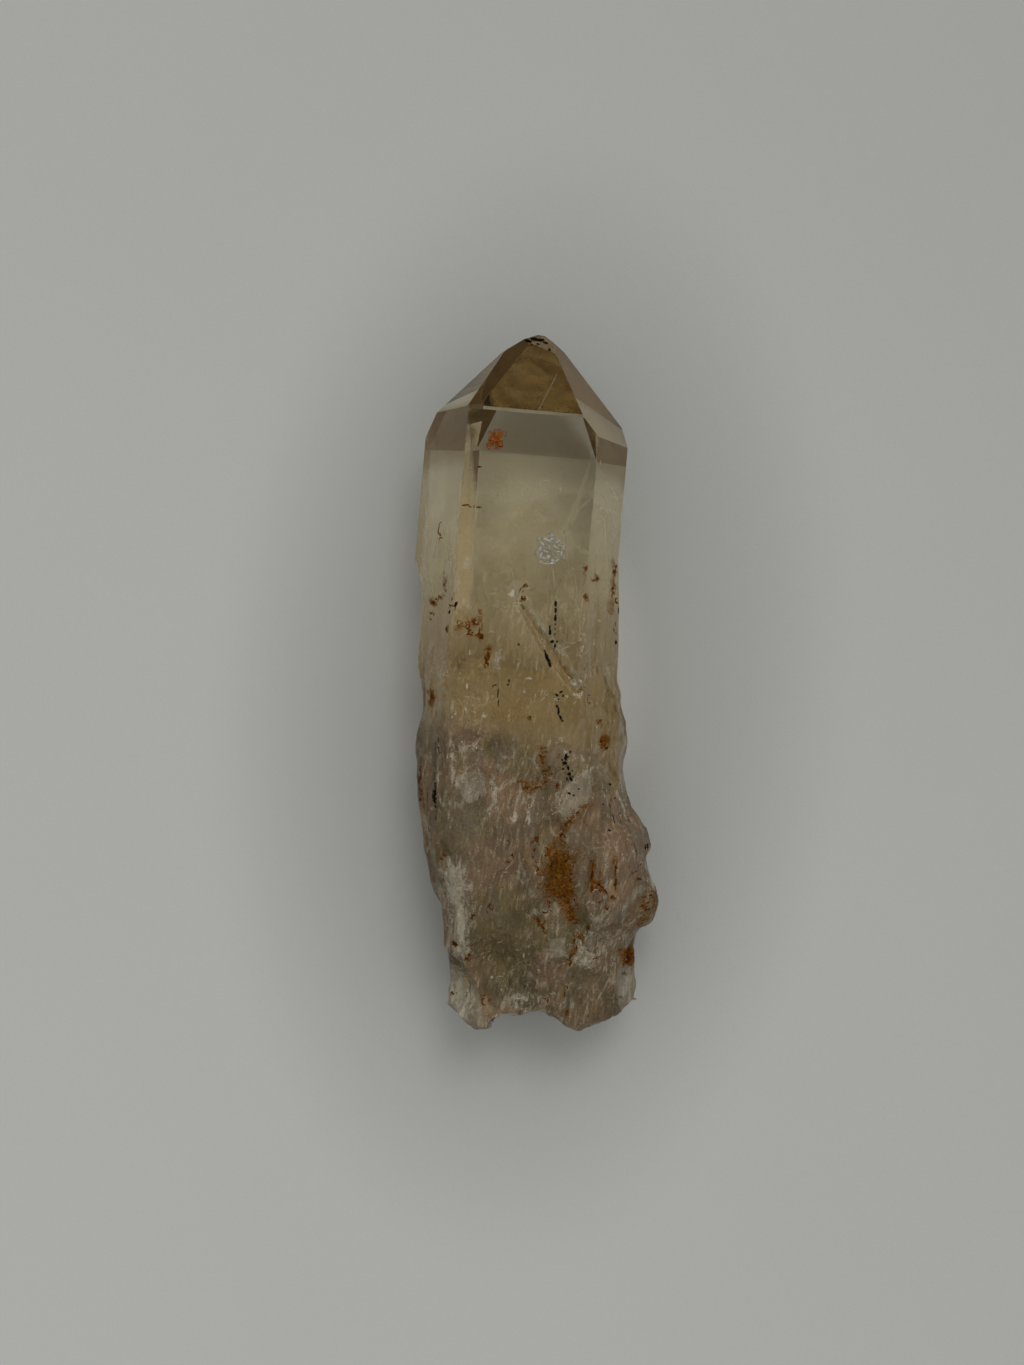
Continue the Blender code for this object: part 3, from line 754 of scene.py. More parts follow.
@dataclass(frozen=True)
class QuartzFinish:
    """The skin of the crystal: clear glassy quartz above, milky, frosted and stained quartz below."""

    ior: float = 1.545
    # Painted shade: how much faint brown is laid on the point's back faces, on their sides and on the sides
    # near the point.
    painted_back_shade: float = 0.15
    painted_side_shade: float = 0.26
    painted_front_shade: float = 0.3
    gloss: float = 0.22
    stain_gloss: float = 0.06
    relief_mm: float = 0.5
    most_cover: float = 0.96
    absorbed: Colour = (0.94, 0.70, 0.0)
    absorption: float = 12.5
    mauve: Colour = (0.28, 0.178, 0.1)
    blush: Colour = (0.46, 0.27, 0.15)
    warm: Colour = (0.3, 0.16, 0.06)
    olive: Colour = (0.23, 0.17, 0.06)
    pale: Colour = (0.52, 0.42, 0.26)
    panel: Colour = (0.44, 0.36, 0.245)
    haze: Colour = (0.85, 0.75, 0.48)
    low_haze: Colour = (0.56, 0.395, 0.165)
    tan: Colour = (0.27, 0.16, 0.045)
    amber: Colour = (0.53, 0.38, 0.18)
    frost_and_glint: Colour = (0.74, 0.68, 0.52)
    rust_dark: Colour = (0.06, 0.02, 0.002)
    rust_light: Colour = (0.28, 0.105, 0.003)
    black: Colour = (0.008, 0.007, 0.006)
    # The colour of the painted shade.
    painted_shade: Colour = (0.29, 0.17, 0.015)
    left_edge_x: Spot = (18.2, 19.0)
    boundary_y: float = -6.6
    boundary_x: float = -8.0
    boundary_slope: float = 0.33

    def material(self) -> bpy.types.Material:
        """Builds the material.

        Returns:
            The material.
        """
        material, shader = new_material("quartz_skin")
        milk = self._milk(shader)
        marks = {layer: shader.number(layer.value) for layer in Layer}
        clear, rusty, amber = marks[Layer.CLEAR], marks[Layer.RUST], marks[Layer.AMBER].held()
        ragged = shader.grain(1.7, 4.0, 0.6, 1.0)
        fine = shader.grain(4.0, 3.0, 0.6)
        fibres = shader.grain(1.0, 5.0, 0.68, 0.3, shader.stretched(2.2, 0.5, 5.0))
        clouds = shader.grain(0.16, 3.0, 0.5, 0.5)
        tone, slope = shader.facets(0.45, shader.bent(shader.stretched(1.0, 0.55, 5.0), 0.55, 0.7))
        low = shader.y.step(27.0, 4.0)

        frost_and_glint = marks[Layer.FROST_AND_GLINT] + 1.5 * (fibres - 0.5) + 0.9 * (fine - 0.5) + 0.3 * (tone - 0.5)
        frost_and_glint = frost_and_glint.step(0.28, 0.9)
        flecks = low * (0.5 * fine + 0.7 * fibres).step(0.67, 0.79)
        # Painted highlight, partly frosted quartz: the rims of the chips are paler, as if light glinted on
        # them.
        ridge = (shader.number(RIM_GLINT) + 1.2 * (fine - 0.5) + 1.6 * (fibres - 0.5)).step(0.5, 1.1)
        panel = marks[Layer.PANEL].step(0.44, 0.56)
        edge = (-shader.x).step(*self.left_edge_x) * shader.y.step(6.0, 12.0) * shader.y.step(36.0, 31.0)
        tan = (marks[Layer.TAN].most(0.9 * rusty).most(edge) * (0.3 + 1.4 * ragged)).held()
        blush = marks[Layer.BLUSH] * milk * (0.4 + 1.2 * fibres)

        cover = self._cover(shader, milk, low, tan, (clouds, ragged, fibres, tone), clear)
        cover = cover.most(0.85 * frost_and_glint * (0.35 + 0.65 * milk)).most(flecks * (0.3 + 0.2 * milk))
        cover = cover.most(0.6 * ridge).most((0.62 + 0.5 * (fine - 0.5) + 0.4 * (ragged - 0.5)) * panel)
        cover = cover.most(0.55 * edge * (0.4 + ragged)).most(amber * (0.5 + 0.4 * ragged)).most(0.75 * blush)

        colour = self._colour(shader, milk, clouds * (1.0 - 0.7 * clear), fibres, tan)
        warm = shader.grain(0.55, 4.0, 0.62, 0.8).step(0.47, 0.68)
        colour = shader.blended(0.4 * warm * milk, colour, self.warm)
        colour = shader.blended((0.7 * blush).held(), colour, self.blush)
        colour = shader.blended(0.9 * amber * (1.0 - tan), colour, self.amber)
        colour = shader.blended(0.85 * panel, colour, self.panel)
        lit = 0.8 + 0.3 * tone + 0.7 * (fine - 0.45) * (1.0 - 0.5 * panel)
        colour = shader.vectors("SCALE", colour, 1.0 - milk + milk * lit)
        # The pale colour of frost, also used for the painted highlights on the chip rims.
        colour = shader.blended((frost_and_glint * 0.75).most(flecks * 0.7).most(ridge * 0.5), colour, self.frost_and_glint)

        relief = milk.most(0.12 * low) * (0.35 * slope * (1.0 - panel) + 0.3 * fibres + 0.3 * fine)
        normal = shader.bump(relief, self.relief_mm)
        dull = 0.012 + 0.28 * milk * (1.0 - 0.6 * clear)
        glass = shader.coat((1.0, 1.0, 1.0), dull, 0.5, normal, IOR=self.ior, Transmission_Weight=1.0)
        stone = shader.coat(colour, 0.25 + 0.25 * ragged + 0.3 * frost_and_glint, self.gloss, normal, IOR=self.ior)
        quartz = shader.mixed(cover.least(self.most_cover), glass, stone)
        stained = self._stained(shader, quartz, normal, (rusty, marks[Layer.DARK]), (ragged, fine))
        soak = {"Color": self.absorbed, "Density": self.absorption}
        shader.ends(stained, Volume=shader.add("ShaderNodeVolumeAbsorption", sockets=soak).outputs[0])
        return material

    def _milk(self, shader: Shader) -> Value:
        """How milky the quartz is at a place.

        Args:
            shader: The shader that the value is for.

        Returns:
            0 for clear and 1 for milky quartz.
        """
        wobble = (shader.grain(0.3, 4.0, 0.6) - 0.5) * 5.0
        boundary = self.boundary_y - self.boundary_slope * (shader.x - self.boundary_x).most(0.0)
        return (boundary + wobble - shader.y).step(-1.0, 1.5)

    def _painted_shade_share(self, shader: Shader) -> Value:
        """How much painted shade, a faint brown, lies on the point's hidden back faces and on its sides.

        Args:
            shader: The shader that the value is for.

        Returns:
            The painted shade's share.
        """
        across, ahead, up = shader.parts(shader.add("ShaderNodeNewGeometry").outputs["True Normal"])
        sideways = abs(across).step(0.3, 0.5)
        # Painted shade where the quartz shows the shadowed paper under the point.
        back = (self.painted_back_shade + self.painted_side_shade * sideways) * (-(ahead * up)).step(0.12, 0.2)
        left_of_point = (-shader.x).step(7.0, 9.0) * shader.y.step(37.5, 39.0)
        front = self.painted_front_shade * sideways * up.step(0.1, 0.3) * shader.y.step(28.5, 31.0)
        return (back * shader.y.step(22.0, 26.0)).most(front * (1.0 - left_of_point))

    @staticmethod
    def _cover(
        shader: Shader, milk: Value, low: Value, tan: Value, noises: tuple[Value, ...], clear: Value
    ) -> Value:
        """How much of the skin scatters light instead of letting it through.

        Args:
            shader: The shader that the value is for.
            milk: How milky the quartz is.
            low: 0 in the clear upper half, 1 from the middle down.
            tan: How strong its yellow-brown clouds are.
            noises: Wide clouds, ragged noise, fibres along the crystal and a number for each facet.
            clear: How much clearer it is than the milky quartz about it.

        Returns:
            The share that scatters.
        """
        clouds, ragged, fibres, tone = noises
        thick = 0.42 + 0.28 * clouds.step(0.35, 0.65) + 0.6 * (fibres - 0.45) + 0.2 * (tone - 0.5)
        thick = thick - 0.22 * clear
        hidden = 1.0 - shader.number(FACES_UP)
        window = shader.y.step(30.0, 27.0)
        veil = 0.012 + 0.15 * window * clouds.step(0.45, 0.62) * (0.3 + ragged)
        veil = veil + 0.6 * window * (fibres - 0.53).most(0.0) * clouds.step(0.4, 0.6)
        veil = veil + 0.4 * tan + 0.3 * low * hidden
        veil = veil + low * (0.08 + 1.1 * (fibres - 0.47).most(0.0) + 1.1 * (ragged - 0.55).most(0.0))
        return milk * (thick + 0.12 * hidden) + (1.0 - milk) * veil

    def _colour(self, shader: Shader, milk: Value, clouds: Value, streaks: Value, tan: Value) -> Socket:
        """The colour of the scattering part without its frost and stains.

        Args:
            shader: The shader that the colour is for.
            milk: How milky the quartz is.
            clouds: Wide soft noise.
            streaks: Noise that is longer along the crystal.
            tan: How strong its yellow-brown clouds are.

        Returns:
            The colour.
        """
        deep = shader.blended(clouds.step(0.38, 0.62), self.olive, self.mauve)
        milky = shader.blended(0.6 * streaks.step(0.44, 0.68), deep, self.pale)
        haze = shader.blended(shader.y.step(24.0, -4.0), self.haze, self.low_haze)
        return shader.blended(0.7 * tan, shader.blended(milk, haze, milky), self.tan)

    def _stained(
        self,
        shader: Shader,
        quartz: Socket,
        normal: Socket,
        marks: tuple[Value, ...],
        noises: tuple[Value, ...],
    ) -> Socket:
        """Lays rust, near-black stains and the brown painted shade over the quartz.

        Args:
            shader: The shader that they are for.
            quartz: The quartz without them.
            normal: The normal of its relief.
            marks: How strong the marks of rust and of the near-black stains are.
            noises: Ragged and fine noise.

        Returns:
            The stained quartz.
        """
        (rusty, stained), (ragged, fine) = marks, noises
        lace = (1.0 - 14.0 * abs(ragged - 0.5)).most(0.0)
        rust = 1.3 * rusty + 0.8 * lace - 0.95 + 1.3 * (fine - 0.5)
        rust = rust.step(0.2, 0.45) * rusty.step(0.1, 0.3)
        dark = (stained + 1.6 * (ragged - 0.5) + 2.0 * (fine - 0.5)).step(0.5, 0.68)
        # Painted shade on the point's back faces and sides.
        painted_shade = self._painted_shade_share(shader)
        colour = shader.blended((0.9 * ragged + 0.5 * fine).step(0.55, 0.85), self.rust_dark, self.rust_light)
        colour = shader.blended(dark, shader.blended(painted_shade, colour, self.painted_shade), self.black)
        stain = shader.coat(colour, 0.75, self.stain_gloss, normal)
        return shader.mixed((0.92 * rust).most(dark).most(painted_shade), quartz, stain)


@dataclass
class CrystalSkin:
    """The outer surface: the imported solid's shape with the fine breakage of its lower half."""

    edge_mm: float = 0.39
    mid_edge_mm: float = 0.5
    back_edge_mm: float = 0.8
    passes: int = 8
    mid_bottom: float = -4.0
    refine_top: float = 24.0
    carve_top: float = 16.0
    sharp_deg: float = 32.0
    flat_area_mm2: float = 3.0
    floor_z: float = 0.05
    round_times: int = 2
    clean_up: float = 0.97
    clean_bottom: float = -5.0
    chip_mm: float = 3.4
    chip_depth_mm: float = 0.5
    chip_lean: float = 0.9
    chip_top: float = 0.6
    rim_width: float = 0.16
    small_chips: float = 0.4
    small_share: float = 0.45
    fibre_mm: float = 0.09
    front_up: Spot = (0.8, 0.95)
    front_below: Spot = (4.0, 9.0)
    sides_below: Spot = (-16.0, -2.0)
    waxy_left: Spot = (-2.0, 3.0)
    waxy_below: Spot = (17.0, 22.0)
    groove_up: Spot = (0.85, 0.97)
    groove_edge_mm: float = 0.28
    groove_reach_mm: float = 1.6
    groove_half_mm: Spot = (0.45, 0.3)
    groove_depth_mm: Spot = (0.4, 0.16)
    groove_x: Spot = (-6.0, 9.0)
    groove_y: Spot = (-2.0, 13.0)
    front_z: float = 20.0
    back_seed: int = 11
    back_marks: int = 46
    back_soft: float = 0.7
    finish: QuartzFinish = field(default_factory=QuartzFinish)
    tree: BVHTree | None = None

    def build(self) -> bpy.types.Object:
        """Makes the skin, and keeps its shape in tree for the pieces that lie on it or in it.

        Returns:
            The skin.
        """
        body = self._body()
        ridges = self._carve(body)
        self.tree = BVHTree.FromBMesh(body)
        bmesh.ops.scale(body, vec=(MM,) * 3, verts=body.verts[:])
        mesh = bpy.data.meshes.new("crystal_skin")
        body.to_mesh(mesh)
        body.free()
        self._shade(mesh)
        self._mark(mesh, ridges)
        return placed(mesh, self.finish.material())

    def _body(self) -> Body:
        """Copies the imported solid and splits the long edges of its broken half.

        Returns:
            The finer body, in millimetres.
        """
        body = solid()
        bmesh.ops.triangulate(body, faces=body.faces[:])
        cut(body, (0.0, self.refine_top, 0.0), (0.0, 1.0, 0.0), keep_outer=True)
        for _ in range(self.passes):
            body.normal_update()
            long_edges = [edge for edge in body.edges if self._is_long(edge)]
            if not long_edges:
                break
            bmesh.ops.subdivide_edges(body, edges=long_edges, cuts=1)
            bmesh.ops.triangulate(body, faces=[face for face in body.faces if len(face.verts) > 3])
        self._weld_flaps(body)
        body.normal_update()
        return body

    @staticmethod
    def _weld_flaps(body: Body) -> None:
        """Welds away the corners that splitting leaves hanging on two edges only.

        Args:
            body: The split skin.
        """
        targets: dict[bmesh.types.BMVert, bmesh.types.BMVert] = {}
        for vert in body.verts:
            near = vert.link_edges[0].other_vert(vert)
            if len(vert.link_edges) < 3 and near not in targets and vert not in targets.values():
                targets[vert] = near
        bmesh.ops.weld_verts(body, targetmap=targets)

    def _is_long(self, edge: bmesh.types.BMEdge) -> bool:
        """Whether an edge of the broken half is still too long.

        Args:
            edge: The edge.

        Returns:
            Whether it is to be split.
        """
        length = edge.calc_length()
        if max(vert.co.y for vert in edge.verts) > self.refine_top + 1e-3 or length < self.groove_edge_mm:
            return False
        x, y, z = (edge.verts[0].co + edge.verts[1].co) / 2.0
        (left, right), (low, high) = self.groove_x, self.groove_y
        if z > self.front_z and left < x < right and low < y < high:
            near = min(distances(groove, np.array([x]), np.array([y]))[0] for groove in (GROOVE, GROOVE_BACK))
            if near < self.groove_reach_mm + 0.5 * length:
                return True
        if all(face.normal.z < -0.3 for face in edge.link_faces):
            return length > self.back_edge_mm
        return length > (self.edge_mm if y < self.mid_bottom else self.mid_edge_mm)

    def _carve(self, body: Body) -> np.ndarray:
        """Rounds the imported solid's facets a little and breaks the surface into chips.

        Args:
            body: The body to carve.

        Returns:
            How near each vertex is to a chip's rim, from 0 to 1.
        """
        body.verts.index_update()
        loose = [vert for vert in body.verts if vert.co.y < self.carve_top and vert.co.z > self.floor_z]
        round_ones = [
            vert for vert in loose if vert.normal.z < self.clean_up or vert.co.y < self.clean_bottom
        ]
        axes = {"use_axis_x": True, "use_axis_y": True, "use_axis_z": True}
        for _ in range(self.round_times):
            bmesh.ops.smooth_vert(body, verts=round_ones, factor=0.5, **axes)
        body.normal_update()
        places = np.array([vert.co[:] for vert in loose])
        deep = np.zeros(len(loose))
        for groove, half, depth in zip((GROOVE, GROOVE_BACK), self.groove_half_mm, self.groove_depth_mm):
            deep += depth * np.exp(-((distances(groove, places[:, 0], places[:, 1]) / half) ** 2))
        deep *= np.array([between(vert.normal.z, *self.groove_up) for vert in loose])
        ridges = np.zeros(len(body.verts))
        moves = []
        for vert, depth in zip(loose, deep):
            relief, ridges[vert.index] = self._relief(vert.co, vert.normal)
            moves.append(vert.normal * (relief - depth))
        for vert, move in zip(loose, moves):
            vert.co += move
            vert.co.z = max(vert.co.z, 0.0)
        return ridges

    def _relief(self, place: Vector, normal: Vector) -> tuple[float, float]:
        """How far the fine breakage moves the surface out.

        Args:
            place: A point on the body.
            normal: The surface's direction there.

        Returns:
            The move along the normal, in millimetres, and how near a chip's rim is, from 0 to 1.
        """
        on_front = between(normal.z, *self.front_up)
        front = between(-place.y, *self.front_below)
        sides = between(-place.y, *self.sides_below)
        broken = on_front * front + (1.0 - on_front) * sides
        if broken == 0.0:
            return 0.0, 0.0
        waxy = on_front * between(-place.x, *self.waxy_left) * between(-place.y, *self.waxy_below)
        chips, rim = self._chips(Vector((place.x, place.y * 0.55, place.z)) / self.chip_mm)
        beside = Vector((place.x + 31.0, place.y * 0.45, place.z))
        small, small_rim = self._chips(beside / (self.small_chips * self.chip_mm))
        fibres = noise.fractal(Vector((place.x * 1.5, place.y * 0.3, place.z * 1.5)), 0.8, 2.0, 3)
        coarse = self.chip_depth_mm * (1.0 - 0.75 * waxy) * (chips + self.small_share * small)
        rim = (1.0 - 0.7 * waxy) * max(rim, 0.6 * small_rim)
        return broken * (coarse + self.fibre_mm * fibres), broken * rim

    def _chips(self, place: Vector) -> tuple[float, float]:
        """Bowls with flat tilted floors that meet in sharp ridges, from about -1 to 0.

        Args:
            place: Where, in chips.

        Returns:
            The height there, and how near a ridge is, from 0 to 1.
        """
        heights = []
        for distance, centre in zip(*noise.voronoi(place)):
            lean = noise.cell_vector(centre * 7.3) - Vector(MIDDLE)
            heights.append(distance * distance + self.chip_lean * (place - centre).dot(lean))
        low, second = sorted(heights)[:2]
        return min(low, self.chip_top) - self.chip_top, max(0.0, 1.0 - (second - low) / self.rim_width)

    def _shade(self, mesh: bpy.types.Mesh) -> None:
        """Shades the large clean faces flat and the rest smooth up to its sharp edges.

        Args:
            mesh: The skin's mesh.
        """
        mesh.shade_smooth()
        mesh.set_sharp_from_angle(angle=math.radians(self.sharp_deg))
        for polygon in mesh.polygons:
            carved = polygon.center.y < self.carve_top * MM
            polygon.use_smooth = carved and polygon.area < self.flat_area_mm2 * MM * MM

    def _mark(self, mesh: bpy.types.Mesh, ridges: np.ndarray) -> None:
        """Writes one number for each layer of marks to each vertex.

        Args:
            mesh: The skin's mesh.
            ridges: How near each vertex is to a chip's rim.
        """
        places, normals = np.empty(len(mesh.vertices) * 3), np.empty(len(mesh.vertices) * 3)
        mesh.vertices.foreach_get("co", places)
        mesh.vertices.foreach_get("normal", normals)
        places = places.reshape(-1, 3) / MM
        front = np.clip(normals.reshape(-1, 3)[:, 2] * 4.0 + 0.6, 0.0, 1.0)
        warped = self._warped(places)
        back_marks = self._back_marks()
        numbers = {RIM_GLINT: ridges, FACES_UP: front}
        for layer in Layer:
            spots = (places[:, 0], places[:, 1]) if layer is Layer.PANEL else warped
            on_back = (1.0 - front) * self._layer(back_marks, layer, *warped)
            numbers[layer.value] = front * self._layer(FRONT_MARKS, layer, *spots) + on_back
        for name, values in numbers.items():
            store = mesh.attributes.new(name, "FLOAT", "POINT")
            store.data.foreach_set("value", values.astype(np.float32))

    def _warped(self, places: np.ndarray) -> tuple[np.ndarray, np.ndarray]:
        """Shifts places to and fro a little, so that marks get uneven edges.

        Args:
            places: The places, in millimetres.

        Returns:
            How far across and along the shifted places are.
        """
        shifts = np.zeros((len(places), 2))
        for number, (x, y, z) in enumerate(places):
            if y > self.refine_top:
                continue
            wide = noise.noise_vector(Vector((x, 0.7 * y, z)) * 0.55)
            near = noise.noise_vector(Vector((x, 0.7 * y, z)) * 1.5)
            shifts[number] = (0.35 * wide.x + 0.3 * near.x, 0.5 * wide.y + 0.45 * near.y)
        return places[:, 0] + shifts[:, 0], places[:, 1] + shifts[:, 1]

    @staticmethod
    def _layer(marks: Sequence[Mark], layer: Layer, x: np.ndarray, y: np.ndarray) -> np.ndarray:
        """The strongest mark of a layer at each place."""
        strengths = [mark.strengths(x, y) for mark in marks if mark.layer is layer]
        return np.maximum.reduce([np.zeros(x.shape), *strengths])

    def _back_marks(self) -> list[Patch]:
        """Scatters marks of every layer over the back and the sides.

        Returns:
            The marks.
        """
        pick = random.Random(self.back_seed)
        marks = []
        layers = (Layer.FROST_AND_GLINT, Layer.CLEAR, Layer.TAN, Layer.RUST, Layer.FROST_AND_GLINT, Layer.TAN)
        for number in range(self.back_marks):
            layer = layers[number % len(layers)]
            x, y = pick.uniform(-17.0, 17.0), pick.uniform(-46.0, 8.0)
            wide = pick.uniform(0.5, 2.6) * (0.5 if layer is Layer.RUST else 1.0)
            tall = wide * pick.uniform(1.0, 3.0)
            strength, turn = pick.uniform(0.5, 1.0), pick.uniform(-25.0, 25.0)
            marks.append(Patch(layer, self.back_soft, x, y, wide, tall, strength, turn))
        return marks


@dataclass(frozen=True)
class CloudFinish:
    """The milky quartz deep inside the broken half: soft mauve, olive and pale clouds, with painted light on
    its upper end.
    """

    mauve: Colour = (0.58, 0.43, 0.28)
    olive: Colour = (0.44, 0.33, 0.14)
    pale: Colour = (0.8, 0.7, 0.5)
    rust: Colour = (0.4, 0.18, 0.03)
    # Painted light: the paler colour of the upper end.
    upper: Colour = (0.76, 0.62, 0.36)
    upper_y: Spot = (-12.0, -2.0)
    upper_z: Spot = (21.0, 17.0)
    roughness: float = 0.85
    gloss: float = 0.1
    relief_mm: float = 0.25

    def material(self) -> bpy.types.Material:
        """Builds the material.

        Returns:
            The material.
        """
        material, shader = new_material("milky_quartz")
        clouds = shader.grain(0.14, 3.0, 0.5, 0.6)
        veins = shader.grain(1.0, 5.0, 0.6, 0.4, shader.stretched(0.5, 0.16, 6.0))
        fine = shader.grain(1.6, 4.0, 0.6)
        colour = shader.blended(clouds.step(0.4, 0.6), self.olive, self.mauve)
        colour = shader.blended(0.8 * veins.step(0.5, 0.7), colour, self.pale)
        colour = shader.blended(0.5 * shader.grain(0.3, 4.0, 0.6, 1.0).step(0.62, 0.74), colour, self.rust)
        # Painted light: the upper end, away from the top face, is paler and golden, as if lit through the
        # clear point.
        upper = 0.85 * shader.y.step(*self.upper_y) * shader.z.step(*self.upper_z)
        colour = shader.blended(upper, colour, self.upper)
        roughness = self.roughness + 0.1 * (fine - 0.5)
        shader.ends(shader.coat(colour, roughness, self.gloss, shader.bump(fine, self.relief_mm)))
        return material


@dataclass(frozen=True)
class MilkyHeart:
    """The mass of milky quartz inside the broken half, a little smaller than the crystal about it."""

    top_y: float = -4.0
    top_slope: float = -0.22
    top_lean: float = 0.6
    end_y: float = -44.5
    solid_end_y: float = -50.0
    middle_z: float = 12.0
    beside_mm: float = 40.0
    share: float = 0.85
    voxel_mm: float = 0.8
    slice_mm: float = 1.5
    swell_mm: float = 0.7
    top_swell_mm: float = 2.2
    finish: CloudFinish = field(default_factory=CloudFinish)

    def build(self, skin: BVHTree) -> bpy.types.Object:
        """Makes the mass.

        Args:
            skin: The skin, to find the middle of each slice.

        Returns:
            The piece.
        """
        top = Vector((0.0, self.top_y, self.middle_z))
        out = Vector((-self.top_slope, 1.0, self.top_lean)).normalized()
        body = solid()
        cut(body, top, out, keep_outer=False)
        bmesh.ops.holes_fill(body, edges=[edge for edge in body.edges if edge.is_boundary])
        self._shrink(body, skin)
        mesh = self._even(body)
        self._cloud(mesh, top, out)
        mesh.shade_smooth()
        return placed(mesh, self.finish.material())

    def _shrink(self, body: Body, skin: BVHTree) -> None:
        """Draws the mass in from the skin, each slice about its own middle.

        Args:
            body: The mass.
            skin: The skin, whose width gives each slice's middle.
        """
        run = (self.end_y - self.top_y) / (self.solid_end_y - self.top_y)
        for vert in body.verts:
            middle = self._middle(skin, vert.co.y)
            vert.co.x = middle + self.share * (vert.co.x - middle)
            vert.co.z = self.middle_z + self.share * (vert.co.z - self.middle_z)
            vert.co.y = self.top_y + run * (vert.co.y - self.top_y)

    def _middle(self, skin: BVHTree, y: float) -> float:
        """Finds the middle of the crystal across a slice.

        Args:
            skin: The skin.
            y: The slice's place along the crystal.

        Returns:
            The middle's place across the crystal.
        """
        y = max(y, self.solid_end_y + self.slice_mm)
        starts = ((-self.beside_mm, 1.0), (self.beside_mm, -1.0))
        sides = [skin.ray_cast(Vector((x, y, self.middle_z)), Vector((way, 0.0, 0.0)))[0] for x, way in starts]
        return (sides[0].x + sides[1].x) / 2.0 if all(sides) else 0.0

    def _even(self, body: Body) -> bpy.types.Mesh:
        """Remeshes the mass with even faces.

        Args:
            body: The mass, in millimetres.

        Returns:
            The even mesh, in metres.
        """
        bmesh.ops.scale(body, vec=(MM,) * 3, verts=body.verts[:])
        rough = bpy.data.meshes.new("rough_heart")
        body.to_mesh(rough)
        body.free()
        stand_in = bpy.data.objects.new("rough_heart", rough)
        bpy.context.scene.collection.objects.link(stand_in)
        remesh = stand_in.modifiers.new("even", "REMESH")
        remesh.mode = "VOXEL"
        remesh.voxel_size = self.voxel_mm * MM
        view = bpy.context.evaluated_depsgraph_get()
        mesh = bpy.data.meshes.new_from_object(stand_in.evaluated_get(view))
        mesh.name = "milky_heart"
        bpy.data.objects.remove(stand_in)
        bpy.data.meshes.remove(rough)
        return mesh

    def _cloud(self, mesh: bpy.types.Mesh, top: Vector, out: Vector) -> None:
        """Swells the mass into soft lumps, most of all at its upper end.

        Args:
            mesh: The mass, in metres.
            top: The middle of its upper end.
            out: The direction of its upper end.
        """
        for vert in mesh.vertices:
            place = vert.co / MM
            lump = noise.fractal(place * 0.28, 0.7, 2.0, 3)
            vert.co += vert.normal * (MM * lump * self.swell_mm)
            swell = between(out.dot(place - top), -5.0, 0.0) * self.top_swell_mm
            vert.co.y += MM * swell * noise.fractal(place * 0.22 + Vector((5.0, 0.0, 0.0)), 0.7, 2.0, 3)


@dataclass(frozen=True)
class StainFinish:
    """A dull mineral inside the quartz, and for the glints a pale painted highlight."""

    name: str
    low: Colour
    high: Colour
    roughness: float
    alpha: float
    gloss: float

    def material(self) -> bpy.types.Material:
        """Builds the material.

        Returns:
            The material.
        """
        material, shader = new_material(self.name)
        grain = shader.grain(2.5, 4.0, 0.6).step(0.35, 0.65)
        colour = shader.blended(grain, self.low, self.high)
        roughness = self.roughness + 0.15 * (grain - 0.5)
        shader.ends(shader.coat(colour, roughness, self.gloss, shader.bump(grain, 0.03), Alpha=self.alpha))
        return material


class Shell:
    """The corners, in millimetres, and the faces of a piece as it is made."""

    def __init__(self) -> None:
        """Starts with nothing."""
        self.corners: list[Vector] = []
        self.faces: list[Face] = []

    def add(self, corners: Sequence[Vector], faces: Iterable[Face]) -> None:
        """Adds corners and faces.

        Args:
            corners: The new corners.
            faces: The new faces, their corners counted from the first new one.
        """
        first = len(self.corners)
        self.corners.extend(corners)
        self.faces.extend(tuple(first + corner for corner in face) for face in faces)

    def add_tube(self, rings: Sequence[Sequence[Vector]], closed: bool) -> None:
        """Adds a tube.

        Args:
            rings: The corners of each ring of the tube, in order.
            closed: Whether the last ring joins the first; if not, the tube gets two end faces.
        """
        sides = len(rings[0])
        count = len(rings)
        faces: list[Face] = []
        for ring in range(count if closed else count - 1):
            near, far = ring * sides, (ring + 1) % count * sides
            for side in range(sides):
                beside = (side + 1) % sides
                faces.append((near + side, far + side, far + beside, near + beside))
        if not closed:
            faces += [tuple(range(sides)), tuple(range(count * sides - 1, (count - 1) * sides - 1, -1))]
        self.add([corner for ring in rings for corner in ring], faces)

    def piece(self, name: str, finish: StainFinish, smooth: bool = True) -> bpy.types.Object:
        """Makes the piece.

        Args:
            name: Its name.
            finish: Its finish.
            smooth: Whether it is shaded smooth.

        Returns:
            The piece.
        """
        mesh = bpy.data.meshes.new(name)
        mesh.from_pydata([corner * MM for corner in self.corners], [], self.faces)
        if smooth:
            mesh.shade_smooth()
        return placed(mesh, finish.material())


@dataclass(frozen=True)
class Grain:
    """One grain that lies in the skin: a mineral grain, and for the glints a painted highlight."""

    x: float
    y: float
    half_width: float
    half_length: float
    turn_deg: float = 0.0


